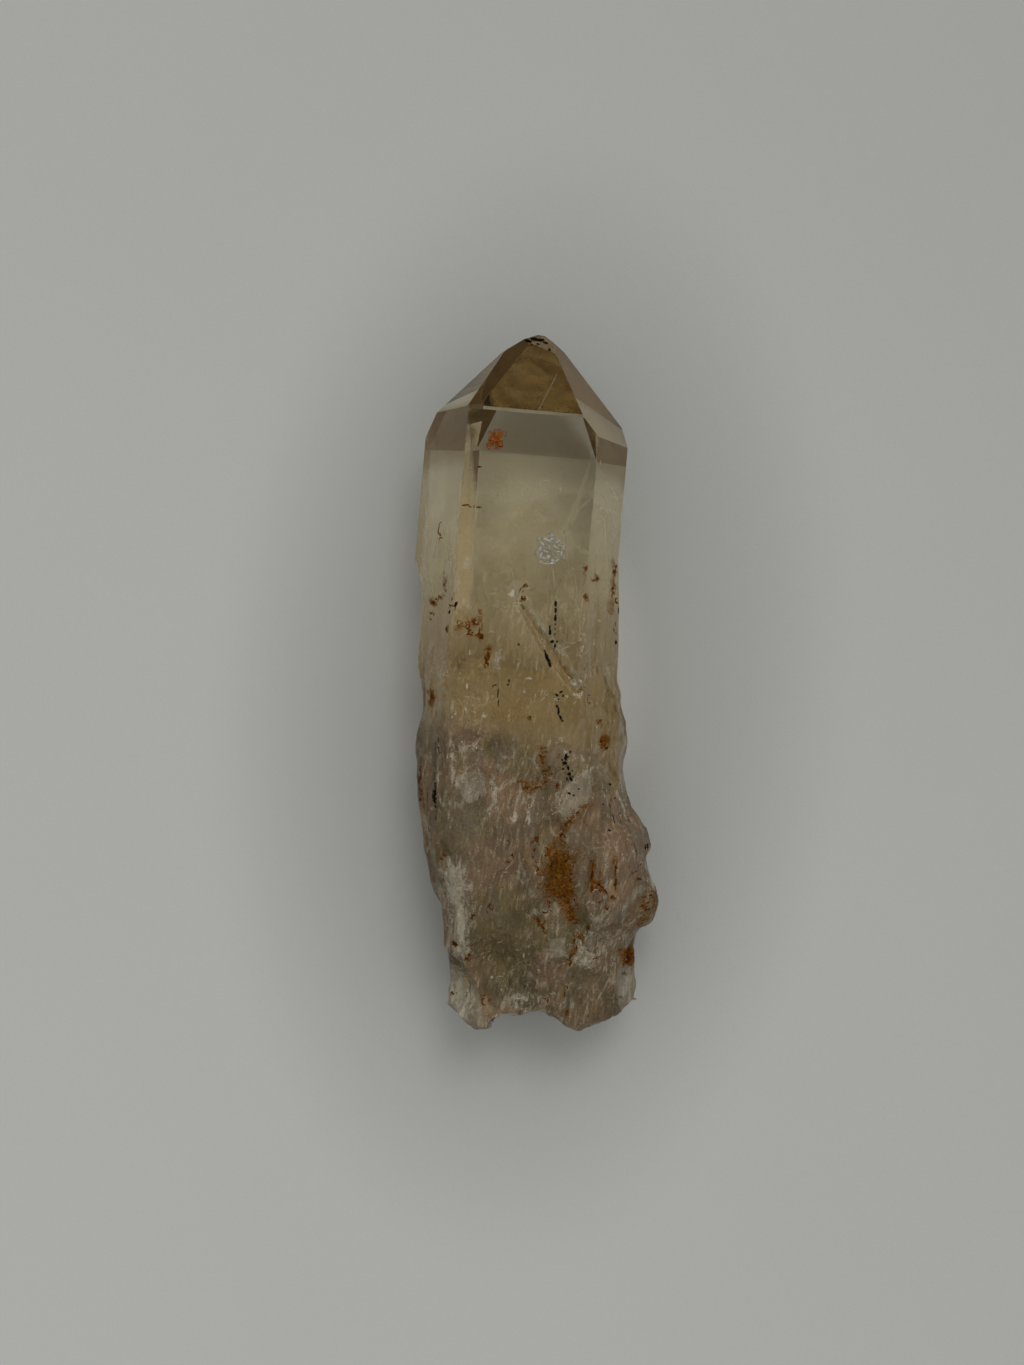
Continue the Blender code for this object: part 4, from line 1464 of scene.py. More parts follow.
@dataclass(frozen=True)
class Grains:
    """Grains of one mineral, or of painted highlights, that lie in the skin; each row has the values of one
    Grain.
    """

    name: str
    finish: StainFinish
    rows: tuple[tuple[float, ...], ...]
    round_steps: int = 3
    swell: float = 1.1
    flat: float = 0.45
    ragged: float = 0.7
    least_up: float = 0.35

    def build(self, skin: BVHTree) -> bpy.types.Object:
        """Makes all the grains as one piece.

        Args:
            skin: The skin, to find how high it is.

        Returns:
            The piece.
        """
        shell = Shell()
        ball, faces = self._ball()
        for number, grain in enumerate(Grain(*row) for row in self.rows):
            centre, out = skin_at(skin, grain.x, grain.y)
            if centre is None or out.z < self.least_up:
                continue
            turn = Matrix.Rotation(math.radians(grain.turn_deg), 3, "Z")
            turn = Vector((0.0, 0.0, 1.0)).rotation_difference(out).to_matrix() @ turn
            thick = self.flat * min(grain.half_width, grain.half_length)
            corners = []
            for corner in ball:
                swell = self.swell + self.ragged * noise.noise(corner * 1.7 + Vector((number * 3.1, 0.0, 0.0)))
                swell += 0.6 * self.ragged * noise.noise(corner * 4.5 + Vector((0.0, number * 2.7, 0.0)))
                shaped = Vector((grain.half_width * corner.x, grain.half_length * corner.y, thick * corner.z))
                corners.append(centre + turn @ (shaped * swell))
            shell.add(corners, faces)
        return shell.piece(self.name, self.finish)

    def _ball(self) -> tuple[list[Vector], list[Face]]:
        """Makes the ball that every grain is shaped from.

        Returns:
            Its corners and its faces.
        """
        body = bmesh.new()
        bmesh.ops.create_icosphere(body, subdivisions=self.round_steps, radius=1.0)
        body.verts.index_update()
        ball = [vert.co.copy() for vert in body.verts]
        faces = [tuple(vert.index for vert in face.verts) for face in body.faces]
        body.free()
        return ball, faces


@dataclass(frozen=True)
class Lace:
    """An oval in which short threads wander."""

    x: float
    y: float
    half_width: float
    half_length: float
    threads: int
    turn_deg: float = 0.0


@dataclass(frozen=True)
class Threads:
    """Short wandering threads of one mineral in the skin; each row has the values of one Lace."""

    name: str
    finish: StainFinish
    rows: tuple[tuple[float, ...], ...]
    seed: int = 7
    step_mm: float = 0.11
    steps: tuple[int, int] = (4, 14)
    radius_mm: Spot = (0.035, 0.085)
    sides: int = 6
    least_up: float = 0.25

    def build(self, skin: BVHTree) -> bpy.types.Object:
        """Makes all the threads as one piece.

        Args:
            skin: The skin, to find how high it is.

        Returns:
            The piece.
        """
        shell = Shell()
        pick = random.Random(self.seed)
        for lace in (Lace(*row) for row in self.rows):
            for _ in range(lace.threads):
                path = self._path(skin, lace, pick)
                if len(path) > 2:
                    shell.add_tube(self._rings(path, pick), closed=False)
        return shell.piece(self.name, self.finish)

    def _path(self, skin: BVHTree, lace: Lace, pick: random.Random) -> list[tuple[Vector, Vector]]:
        """Points on the skin along one thread, each with the skin's direction there.

        Args:
            skin: The skin.
            lace: The oval that the thread keeps to.
            pick: Where its random numbers come from.

        Returns:
            The points and directions.
        """
        turn = Matrix.Rotation(math.radians(lace.turn_deg), 2)
        reach = 0.9 * math.sqrt(pick.random())
        way = pick.uniform(0.0, FULL_TURN)
        place = Vector((lace.half_width * reach * math.cos(way), lace.half_length * reach * math.sin(way)))
        way = pick.uniform(0.0, FULL_TURN)
        path = []
        for _ in range(pick.randint(*self.steps)):
            way += pick.gauss(0.0, 0.6)
            ahead = place + Vector((math.cos(way), math.sin(way))) * self.step_mm
            if math.hypot(ahead.x / lace.half_width, ahead.y / lace.half_length) > 1.1:
                way += 1.6
                continue
            place = ahead
            point, out = skin_at(skin, *(turn @ place + Vector((lace.x, lace.y))))
            if point is None or out.z < self.least_up:
                break
            path.append((point, out))
        return path

    def _rings(self, path: list[tuple[Vector, Vector]], pick: random.Random) -> list[list[Vector]]:
        """The corners of one thread, which is thickest in its middle.

        Args:
            path: Its points and the skin's directions there.
            pick: Where its random numbers come from.

        Returns:
            The corners of each ring along it.
        """
        last = len(path) - 1
        base = pick.uniform(*self.radius_mm)
        ways = [FULL_TURN * side / self.sides for side in range(self.sides)]
        rings = []
        for number, (point, out) in enumerate(path):
            ahead = path[min(number + 1, last)][0] - path[max(number - 1, 0)][0]
            beside = ahead.cross(out).normalized()
            wide = base * (0.4 + 0.9 * math.sin(math.pi * number / last)) * pick.uniform(0.7, 1.3)
            rings.append(
                [point + beside * (wide * math.cos(way)) + out * (0.6 * wide * math.sin(way)) for way in ways]
            )
        return rings


@dataclass(frozen=True)
class RingSpot:
    """A small patch of red-orange rings on the clear quartz, like cells of dried stain."""

    place: Spot = (-9.48, 33.46)
    half_size: Spot = (1.35, 1.6)
    rings: int = 34
    ring_radius: Spot = (0.12, 0.36)
    tube: Spot = (0.03, 0.07)
    above_mm: Spot = (0.04, -0.01)
    round_steps: int = 18
    tube_steps: int = 7
    seed: int = 4
    finish: StainFinish = StainFinish("red_stain", (0.13, 0.014, 0.0003), (0.5, 0.13, 0.002), 0.6, 1.0, 0.02)

    def build(self, skin: BVHTree) -> bpy.types.Object:
        """Makes the patch.

        Args:
            skin: The skin, to find how high it is.

        Returns:
            The piece.
        """
        shell = Shell()
        pick = random.Random(self.seed)
        high = skin_at(skin, *self.place)[0].z
        for number in range(self.rings):
            reach = math.sqrt(pick.random()) * 0.95
            way = pick.uniform(0.0, FULL_TURN)
            x = self.place[0] + reach * self.half_size[0] * math.cos(way)
            y = self.place[1] + reach * self.half_size[1] * math.sin(way)
            centre = Vector((x, y, high + pick.uniform(*self.above_mm)))
            radius, tube = pick.uniform(*self.ring_radius), pick.uniform(*self.tube)
            shell.add_tube(self._ring(centre, radius, tube, number), closed=True)
        return shell.piece("red_ring_stain", self.finish)

    def _ring(self, centre: Vector, radius: float, tube: float, number: int) -> list[list[Vector]]:
        """The corners of one uneven ring.

        Args:
            centre: The ring's centre.
            radius: How wide it is, from the centre to the middle of its tube.
            tube: The tube's radius.
            number: The ring's number, so that no two are alike.

        Returns:
            The corners of each ring of its tube.
        """
        rings = []
        for step in range(self.round_steps):
            way = FULL_TURN * step / self.round_steps
            out = Vector((math.cos(way), math.sin(way), 0.0))
            swell = noise.noise(out * 1.4 + Vector((number * 5.3, 0.0, 0.0)))
            wide = tube * (1.0 + 1.2 * swell)
            corners = []
            for turn in range(self.tube_steps):
                bend = FULL_TURN * turn / self.tube_steps
                beside = out * (radius * (1.0 + 0.7 * swell) + wide * math.cos(bend))
                corners.append(centre + beside + Vector((0.0, 0.0, 0.6 * wide * math.sin(bend))))
            rings.append(corners)
        return rings


@dataclass(frozen=True)
class Sheet:
    """A thin crack that goes down into the quartz from a line on its surface."""

    places: tuple[Spot, ...]
    lean: Spot
    depth: float
    start: float = 0.05
    wave: float = 0.1


@dataclass(frozen=True)
class Cracks:
    """Thin cracks inside the quartz, all of one finish."""

    name: str
    finish: StainFinish
    sheets: tuple[Sheet, ...]
    thick_mm: float = 0.05
    step_mm: float = 0.25
    rows: int = 6

    def build(self, skin: BVHTree) -> bpy.types.Object:
        """Makes all the cracks as one piece.

        Args:
            skin: The skin, to find how high it is.

        Returns:
            The piece.
        """
        shell = Shell()
        for number, sheet in enumerate(self.sheets):
            line = self._spaced(sheet.places)
            self._add_slab(shell, [self._column(skin, sheet, place, share, number) for place, share in line])
        return shell.piece(self.name, self.finish)

    def _spaced(self, places: Sequence[Spot]) -> list[tuple[Vector, float]]:
        """Spaces places evenly along a bent line.

        Args:
            places: The line's own places.

        Returns:
            Each place with its share of the way.
        """
        points = [Vector(place) for place in places]
        lengths = [(end - start).length for start, end in zip(points, points[1:])]
        total = sum(lengths)
        count = max(3, int(total / self.step_mm))
        line = []
        for number in range(count + 1):
            reach = total * number / count
            for start, end, length in zip(points, points[1:], lengths):
                if reach <= length + 1e-9:
                    line.append((start.lerp(end, reach / length), number / count))
                    break
                reach -= length
        return line

    def _column(self, skin: BVHTree, sheet: Sheet, place: Vector, share: float, number: int) -> list[Vector]:
        """The points of a crack from the surface down, at one place on its line.

        Args:
            skin: The skin.
            sheet: The crack.
            place: The place on its line.
            share: How far along the line the place is, from 0 to 1.
            number: The crack's number, so that no two are alike.

        Returns:
            The points.
        """
        top = skin_at(skin, place.x, place.y)[0]
        height = (top.z if top else 12.0) - sheet.start
        taper = 0.25 + 0.75 * math.sin(math.pi * min(max(share, 0.02), 0.98)) ** 0.5
        taper *= 1.0 + 0.35 * noise.noise(Vector((share * 6.0, number * 3.3, 0.0)))
        column = []
        for row in range(self.rows + 1):
            down = taper * row / self.rows
            wave = sheet.wave * noise.noise(Vector((place.x * 0.8, place.y * 0.8, down * 2.0 + number)))
            x = place.x + sheet.lean[0] * down + wave
            y = place.y + sheet.lean[1] * down + 0.5 * wave
            column.append(Vector((x, y, height - sheet.depth * down)))
        return column

    def _add_slab(self, shell: Shell, grid: list[list[Vector]]) -> None:
        """Gives a grid of points a thickness and closes it all round.

        Args:
            shell: The shell that gets it.
            grid: The columns of points.
        """
        wide, tall = len(grid), len(grid[0])
        along = (grid[-1][0] - grid[0][0]).normalized()
        down = (grid[wide // 2][-1] - grid[wide // 2][0]).normalized()
        out = along.cross(down).normalized() * (self.thick_mm / 2.0)
        back = wide * tall
        faces: list[Face] = []
        for column in range(wide - 1):
            for row in range(tall - 1):
                a = column * tall + row
                b, c, d = a + tall, a + tall + 1, a + 1
                faces += [(a, b, c, d), (d + back, c + back, b + back, a + back)]
        rim = [column * tall for column in range(wide)]
        rim += [(wide - 1) * tall + row for row in range(1, tall)]
        rim += [column * tall + tall - 1 for column in range(wide - 2, -1, -1)]
        rim += list(range(tall - 2, 0, -1))
        faces += [(end, start, start + back, end + back) for start, end in zip(rim, rim[1:] + rim[:1])]
        shell.add([point + side for side in (out, -out) for column in grid for point in column], faces)


@dataclass(frozen=True)
class SparkFracture:
    """A small round flower-like fracture near the front face; its white glints are painted reflection."""

    place: Spot = (-0.57, 18.66)
    radius: float = 1.95
    petals: int = 8
    spokes: int = 132
    rings: int = 12
    under_mm: float = 0.5
    ridge_mm: float = 0.3
    thick_mm: float = 0.05
    finish: StainFinish = StainFinish("glint", (0.85, 0.86, 0.86), (1.0, 0.99, 0.95), 0.3, 0.28, 0.5)

    def build(self, skin: BVHTree) -> bpy.types.Object:
        """Makes the fracture.

        Args:
            skin: The skin, to find how high it is.

        Returns:
            The piece.
        """
        high = skin_at(skin, *self.place)[0].z - self.under_mm
        corners: list[Vector] = []
        for height in (high, high - self.thick_mm):
            corners.append(Vector((*self.place, height)))
            for ring in range(1, self.rings + 1):
                corners += [self._corner(ring / self.rings, spoke, height) for spoke in range(self.spokes)]
        faces: list[Face] = []
        back = 1 + self.rings * self.spokes
        rim = back - self.spokes
        for spoke in range(self.spokes):
            beside = (spoke + 1) % self.spokes
            faces += [(0, 1 + spoke, 1 + beside), (back, back + 1 + beside, back + 1 + spoke)]
            for inner in range(1, rim, self.spokes):
                outer = inner + self.spokes
                face = (inner + spoke, outer + spoke, outer + beside, inner + beside)
                faces += [face, tuple(back + corner for corner in reversed(face))]
            faces.append((rim + spoke, back + rim + spoke, back + rim + beside, rim + beside))
        shell = Shell()
        shell.add(corners, faces)
        return shell.piece("spark_fracture", self.finish, smooth=False)

    def _corner(self, share: float, spoke: int, height: float) -> Vector:
        """One corner of the crumpled disc.

        Args:
            share: How far out it is, from 0 to 1.
            spoke: Which spoke it is on.
            height: How high the disc is.

        Returns:
            The corner.
        """
        way = FULL_TURN * spoke / self.spokes
        out = Vector((math.cos(way), math.sin(way), 0.0))
        petal = math.sin(way * self.petals + 4.0 * noise.noise(out * 1.2))
        reach = self.radius * share * (1.0 + 0.26 * petal * share + 0.3 * noise.noise(out * 2.6) * share)
        ridge = self.ridge_mm * (petal * share + noise.noise(out * 5.0 + Vector((0.0, 0.0, share * 3.0))))
        return Vector((self.place[0] + out.x * reach, self.place[1] + out.y * reach, height + ridge))


NEEDLES = Grains(
    "black_needles",
    StainFinish("black_mineral", (0.003, 0.003, 0.003), (0.014, 0.011, 0.008), 0.7, 1.0, 0.04),
    (
        (-6.08, 49.25, 0.53, 0.28, -25), (-5.31, 49.68, 0.56, 0.33), (-4.44, 49.71, 0.61, 0.33, 10),
        (-4.68, 48.9, 0.28, 0.17), (-3.6, 49.26, 0.36, 0.21, -30), (-2.94, 48.02, 0.18, 0.33, 15),
        (-5.67, 48.59, 0.2, 0.13), (0.86, 11.28, 0.15, 0.36), (0.92, 10.38, 0.14, 0.31),
        (0.97, 9.35, 0.13, 0.39), (1.04, 8.52, 0.08, 0.13), (1.05, 7.83, 0.1, 0.1),
        (1.11, 7.14, 0.08, 0.13), (0.31, 8.04, 0.1, 0.22), (0.4, 7.36, 0.15, 0.39),
        (0.79, 6.07, 0.24, 0.17, 30), (1.25, 5.55, 0.13, 0.28), (1.48, 6.13, 0.1, 0.15),
        (1.17, 4.92, 0.08, 0.11), (0.29, 3.73, 0.21, 0.64, 25), (-0.08, 4.53, 0.11, 0.31, 25),
        (0.74, 2.8, 0.13, 0.31, 22), (-6.05, -1.68, 0.08, 0.5, 1), (-5.89, -3.05, 0.07, 0.42),
        (-6.56, -0.61, 0.22, 0.08, 20), (-6.87, -0.83, 0.08, 0.11), (-4.68, 0.11, 0.11, 0.2, 10),
        (-4.77, -0.4, 0.17, 0.1), (-3.78, 5.27, 0.13, 0.13), (2.63, -0.79, 0.24, 0.11, 20),
        (2.11, -1.25, 0.22, 0.13, -30), (2.95, -1.32, 0.14, 0.14), (2.38, -1.93, 0.1, 0.24),
        (2.24, -2.77, 0.13, 0.18), (2.5, -3.44, 0.14, 0.5, 4), (2.86, -4.31, 0.14, 0.33, 24),
        (3.16, -4.75, 0.15, 0.11), (10.04, 13.04, 0.1, 0.53), (10.08, 11.6, 0.11, 0.45),
        (9.78, 9.53, 0.08, 0.25), (9.6, 8.64, 0.13, 0.25), (9.97, 8.26, 0.1, 0.13),
        (10.09, 6.92, 0.2, 0.22), (-13.75, 8.94, 0.2, 0.25), (-12.93, 10.04, 0.17, 0.35, -20),
        (-13.52, 10.76, 0.11, 0.2), (-13.72, 9.78, 0.08, 0.14), (4.08, -9.69, 0.17, 0.42, 4),
        (4.01, -10.53, 0.24, 0.21), (4.48, -11.1, 0.14, 0.33, 20), (3.81, -11.38, 0.13, 0.13),
        (4.69, -12.0, 0.22, 0.21), (5.03, -12.66, 0.15, 0.28, 30), (4.47, -12.71, 0.11, 0.17),
        (4.57, -8.96, 0.17, 0.13), (3.56, -10.15, 0.11, 0.1), (5.13, -11.55, 0.11, 0.11),
        (4.92, -14.68, 0.22, 0.13, -30), (5.56, -14.9, 0.18, 0.1, -20), (6.25, -13.95, 0.14, 0.1),
        (-13.81, -15.71, 0.13, 0.33), (-13.67, -16.52, 0.2, 0.42), (-13.62, -17.51, 0.18, 0.47),
        (-13.5, -18.35, 0.11, 0.22), (-13.29, -19.89, 0.07, 0.31), (10.77, -13.18, 0.2, 0.15),
        (11.57, -17.87, 0.08, 0.61), (11.07, -19.46, 0.27, 0.1, -20), (17.1, -21.89, 0.29, 0.2, 30),
    ),
)
RUST_SPECKS = Grains(
    "rust_specks",
    StainFinish("iron_rust", (0.045, 0.014, 0.002), (0.17, 0.05, 0.005), 0.8, 1.0, 0.04),
    (
        (-8.99, 5.91, 0.21, 0.25), (-13.91, 6.63, 0.13, 0.36), (-15.48, -3.01, 0.17, 0.39, 20),
        (-14.47, -5.12, 0.14, 0.17), (-16.44, 10.41, 0.27, 0.22), (6.2, -26.9, 0.15, 0.31),
        (6.57, -28.4, 0.17, 0.22), (4.98, -29.31, 0.2, 0.14, 30), (7.05, -32.05, 0.17, 0.14),
        (9.06, -25.83, 0.1, 0.64), (9.23, -27.73, 0.17, 0.36), (10.17, -27.0, 0.17, 0.2, 30),
        (11.19, -27.94, 0.28, 0.13, -35), (12.34, -24.65, 0.1, 0.5), (12.51, -26.59, 0.11, 0.39),
        (12.18, -28.69, 0.18, 0.25), (2.29, -32.87, 0.13, 0.31, 30), (3.0, -33.8, 0.14, 0.33, 35),
        (7.36, -37.6, 0.1, 0.59, -14), (7.6, -35.52, 0.11, 0.39), (15.91, -38.15, 0.75, 0.86, 8),
        (-9.16, -37.58, 0.28, 0.24, 20), (0.96, -21.33, 0.18, 0.25), (14.01, -18.09, 0.24, 0.21),
        (-1.35, -4.61, 0.15, 0.15), (9.38, -33.47, 0.13, 0.31, -15), (7.56, -46.11, 0.18, 0.18),
        (4.79, -18.94, 0.17, 0.17), (6.34, -17.22, 0.31, 0.11, 35), (8.9, -7.18, 0.17, 0.47),
        (9.85, -8.13, 0.36, 0.14, 20), (-7.87, 3.31, 0.13, 0.31), (-8.05, 2.46, 0.14, 0.17),
        (-14.93, 13.87, 0.14, 0.13), (-15.11, 12.93, 0.13, 0.17), (-14.54, 11.95, 0.15, 0.2),
        (-9.35, 6.66, 0.1, 0.36), (6.47, 15.66, 0.18, 0.11), (6.08, 14.92, 0.11, 0.15),
        (5.01, 12.61, 0.14, 0.17), (-3.72, 11.65, 0.14, 0.13), (-8.94, -46.06, 0.13, 0.13),
        (-7.25, -39.58, 0.08, 0.36, 38), (5.3, -24.08, 0.17, 0.22), (3.3, -24.9, 0.13, 0.2),
        (4.18, -26.64, 0.14, 0.14), (6.14, -29.87, 0.2, 0.2), (2.7, -27.51, 0.11, 0.17),
        (-16.39, -15.14, 0.14, 0.36),
    ),
)
RUST_THREADS = Threads(
    "rust_threads",
    StainFinish("rust_crumbs", (0.06, 0.016, 0.001), (0.27, 0.08, 0.003), 0.8, 1.0, 0.03),
    (
        (-15.1, 13.4, 0.56, 1.26, 6), (-16.3, 10.4, 0.77, 0.56, 8), (-15.4, 11.1, 0.7, 0.7, 4),
        (-17.0, 8.0, 0.98, 1.12, 4), (-13.9, 6.7, 0.25, 0.63, 4), (-13.4, 9.9, 0.5, 1.26, 5),
        (-11.3, 7.5, 1.26, 0.7, 7), (-10.1, 7.0, 0.98, 1.12, 8), (-9.1, 6.1, 0.36, 0.47, 5),
        (-10.6, 5.9, 1.4, 0.7, 4), (-8.0, 3.7, 0.39, 1.26, 8), (-8.0, 2.2, 0.31, 0.56, 4),
        (-3.7, 12.8, 0.56, 1.26, 5), (-3.7, 11.7, 0.36, 0.36, 4), (6.1, 15.4, 0.61, 0.77, 6),
        (5.0, 12.5, 0.42, 0.98, 5), (4.5, 16.5, 0.25, 1.26, 3), (9.0, 16.9, 0.28, 1.4, 7),
        (9.1, 14.0, 0.31, 1.67, 7), (9.6, 12.4, 0.28, 0.84, 4), (-15.9, 20.5, 0.63, 1.81, 4),
        (-12.1, 23.8, 1.53, 0.2, 4), (-10.9, 29.3, 0.7, 0.14, 2), (-15.4, -2.7, 0.28, 0.63, 5),
        (-14.2, -5.1, 0.28, 0.28, 2), (6.6, -1.7, 0.22, 1.26, 4), (8.2, -4.4, 0.63, 0.28, 4),
        (9.4, -7.3, 0.64, 0.91, 9), (0.9, -10.0, 0.63, 1.95, 9), (1.5, -12.3, 0.7, 1.12, 8),
        (-0.8, -14.2, 1.67, 0.56, 9), (0.8, -13.8, 1.12, 0.7, 6), (3.2, -13.5, 0.42, 0.56, 3),
        (5.5, -18.6, 1.26, 0.28, 7, 42), (4.5, -20.7, 0.42, 1.12, 6, 30), (1.0, -21.4, 0.33, 0.39, 4),
        (0.4, -23.2, 0.47, 1.67, 5), (2.4, -24.1, 0.84, 1.95, 7), (4.5, -24.3, 1.67, 1.67, 6),
        (5.6, -26.8, 1.26, 1.95, 7), (4.4, -28.6, 1.53, 1.67, 6), (6.6, -30.2, 0.84, 1.67, 6),
        (7.1, -32.4, 0.7, 0.84, 5), (3.4, -30.6, 0.84, 1.4, 6), (1.6, -25.9, 0.56, 2.79, 6),
        (9.3, -24.7, 0.28, 1.4, 5), (9.6, -26.9, 0.63, 0.84, 8), (10.7, -27.7, 0.7, 0.42, 6, -40),
        (12.5, -25.6, 0.22, 1.95, 7), (12.4, -29.1, 0.36, 0.5, 3), (11.3, -29.8, 1.12, 0.7, 4),
        (17.4, -29.9, 0.98, 1.4, 8, 25), (18.3, -28.8, 0.42, 1.26, 6), (15.8, -25.5, 0.84, 1.67, 5),
        (2.7, -33.4, 0.42, 0.84, 6, -25), (8.3, -34.7, 0.63, 0.42, 4), (7.8, -36.5, 0.28, 1.4, 5),
        (7.2, -38.4, 0.28, 1.12, 4), (9.3, -33.5, 0.22, 0.56, 3), (-7.4, -39.5, 0.25, 0.84, 3, -35),
        (-9.1, -37.6, 0.36, 0.31, 4), (7.6, -46.3, 0.36, 0.42, 4), (-4.2, -45.9, 0.7, 1.12, 4),
        (4.5, -44.3, 0.56, 1.4, 4), (7.1, -43.0, 0.28, 1.4, 3), (-8.8, -46.2, 0.56, 0.56, 2),
        (-16.2, -14.6, 0.25, 1.67, 6), (-15.8, -17.7, 0.28, 1.4, 5), (-11.6, -25.4, 0.56, 1.53, 6),
        (-14.0, -22.0, 0.56, 2.23, 4), (14.0, -18.0, 0.33, 0.31, 4), (11.5, -37.4, 1.12, 1.12, 3),
        (15.8, -38.1, 0.84, 0.98, 10), (-13.8, -10.1, 0.7, 1.95, 3), (-4.0, -22.0, 4.19, 3.63, 4),
        (10.9, -15.3, 1.4, 1.67, 4), (-6.0, -31.4, 2.23, 4.19, 4),
    ),
    radius_mm=(0.045, 0.115),
)
PALE_THREADS = Threads(
    "pale_threads",
    StainFinish("pale_thread", (0.8, 0.7, 0.48), (0.95, 0.88, 0.68), 0.5, 0.4, 0.1),
    (
        (-6.5, 3.6, 0.84, 2.51, 12), (-14.8, 2.8, 1.12, 2.23, 14), (-14.2, 0.0, 1.12, 1.67, 10),
        (-13.1, 12.7, 0.56, 1.53, 7), (-12.1, 15.9, 0.7, 1.12, 5), (7.8, 26.9, 0.84, 3.07, 10),
        (6.4, 23.7, 0.84, 3.91, 10), (8.2, 21.3, 0.7, 3.07, 8), (-1.9, 26.6, 2.51, 1.67, 7),
        (2.7, 6.4, 1.95, 1.67, 7), (-9.1, -3.2, 3.07, 1.4, 12), (-4.1, 11.4, 1.4, 3.07, 7),
        (7.1, 12.6, 1.12, 3.63, 9), (4.9, 6.6, 0.42, 3.35, 6), (4.7, 0.5, 0.84, 0.7, 8),
        (-0.6, 3.4, 4.19, 4.19, 10), (-6.1, 9.9, 3.63, 4.19, 8), (1.2, -2.0, 3.63, 1.4, 8),
        (-18.2, 20.1, 1.12, 2.51, 8), (-18.1, 15.0, 0.56, 2.23, 6), (-14.3, 16.2, 0.42, 3.35, 6),
        (3.1, -7.6, 0.7, 0.56, 7), (-11.8, -10.1, 1.4, 1.95, 9), (-9.0, -13.3, 1.67, 1.4, 8),
        (-5.0, -15.4, 1.12, 1.67, 8), (-0.3, -16.8, 1.4, 1.95, 9), (12.9, -16.3, 0.84, 2.51, 9),
        (11.5, -21.4, 1.4, 3.63, 9), (14.2, -22.0, 1.12, 3.07, 8), (16.5, -25.9, 1.12, 1.95, 7),
        (10.6, -35.9, 3.35, 2.51, 14), (3.8, -15.7, 1.67, 1.95, 9), (6.0, -14.1, 1.4, 1.95, 7),
        (-9.4, -31.9, 1.4, 5.58, 12), (-0.9, -25.9, 2.23, 5.58, 9), (-1.9, -39.5, 3.63, 4.19, 9),
        (10.5, -29.1, 2.79, 2.79, 9), (14.6, -38.4, 2.23, 2.79, 8), (3.6, -44.6, 4.19, 1.67, 10),
        (-7.5, -46.5, 1.67, 3.07, 8),
    ),
    seed=11,
)
# Pale grains painted where light glints on the ledges, the chips and the right edge: painted highlights.
PAINTED_GLINTS = Grains(
    "painted_glints",
    StainFinish("painted_glint", (0.8, 0.72, 0.52), (0.95, 0.88, 0.7), 0.3, 0.6, 0.3),
    (
        (9.37, 24.63, 0.1, 0.91, 2), (9.66, 22.74, 0.08, 0.7, -2), (9.76, 20.57, 0.11, 0.98, 3),
        (9.72, 18.67, 0.1, 0.56, 8), (4.47, 0.48, 0.36, 0.2, 35), (5.13, 0.95, 0.33, 0.17, -40),
        (5.43, 31.41, 0.1, 0.36, 10), (-17.79, 20.53, 0.13, 0.17), (-18.56, 20.31, 0.1, 0.11),
        (-10.41, -1.15, 0.1, 0.31, -8), (-10.3, -4.26, 0.13, 0.25, 30), (-9.04, -4.61, 0.13, 0.14),
        (-12.29, -4.3, 0.11, 0.13), (-11.74, -5.08, 0.13, 0.11), (-12.12, -5.53, 0.08, 0.2),
        (-1.88, 0.7, 0.42, 0.11, 3), (3.57, 1.3, 0.08, 0.33, 50), (-2.2, -18.49, 0.22, 0.33),
        (-0.26, -18.98, 0.13, 0.5), (14.84, -22.36, 0.17, 0.25, 30), (12.47, -15.26, 0.11, 0.45, 15),
        (13.06, -16.55, 0.1, 0.31, 25), (-8.95, -33.41, 0.17, 0.36), (18.17, -26.09, 0.13, 0.47, 10),
        (-7.71, -5.01, 0.31, 0.17), (-2.48, -1.23, 0.14, 0.17), (4.37, -20.2, 0.08, 0.22, 10),
        (0.7, -38.42, 0.11, 0.45), (2.98, -40.32, 0.15, 0.17), (-1.99, -43.97, 0.08, 0.22),
        (-3.5, -42.26, 0.17, 0.17), (-10.44, 3.51, 0.1, 0.31), (-13.58, 14.78, 0.11, 0.47),
        (-10.46, -8.89, 0.11, 0.13), (-9.36, -9.35, 0.2, 0.08, 20), (-8.4, -9.55, 0.08, 0.2, 20),
        (1.23, -26.04, 0.11, 0.33, 10), (-5.42, -15.56, 0.11, 0.28), (7.68, -11.24, 0.1, 0.33, 15),
        (-12.37, -11.17, 0.1, 0.25), (-11.46, -12.89, 0.1, 0.36), (10.06, -14.76, 0.1, 0.33),
        (-13.84, -10.4, 0.08, 0.33),
    ),
)
# White grains painted where the spark fracture reflects light: painted highlights.
SPARK_GLINTS = Grains(
    "spark_glints",
    StainFinish("spark_glint", (0.9, 0.88, 0.82), (1.0, 0.98, 0.9), 0.25, 0.5, 0.6),
    (
        (-1.11, 20.07, 0.14, 0.45, 75), (-0.36, 20.26, 0.11, 0.33, 100), (0.43, 19.93, 0.13, 0.36, 125),
        (-1.68, 19.46, 0.13, 0.33, 45), (-1.91, 18.69, 0.14, 0.36, 5), (-1.8, 17.79, 0.14, 0.39, -15),
        (-1.36, 17.48, 0.22, 0.14), (-1.66, 16.85, 0.2, 0.11, 20), (-0.96, 16.74, 0.1, 0.36, 85),
        (-0.22, 16.83, 0.11, 0.36, 95), (0.49, 17.31, 0.1, 0.31, 130), (1.04, 18.33, 0.11, 0.33, 170),
        (1.2, 19.15, 0.11, 0.25, 190), (-0.68, 17.68, 0.25, 0.2, 20), (-0.12, 17.28, 0.22, 0.14),
        (0.14, 19.19, 0.08, 0.33, 60), (-0.69, 19.07, 0.08, 0.31, 20), (-1.1, 18.42, 0.08, 0.28, 70),
        (0.61, 18.54, 0.07, 0.28, 100),
    ),
)
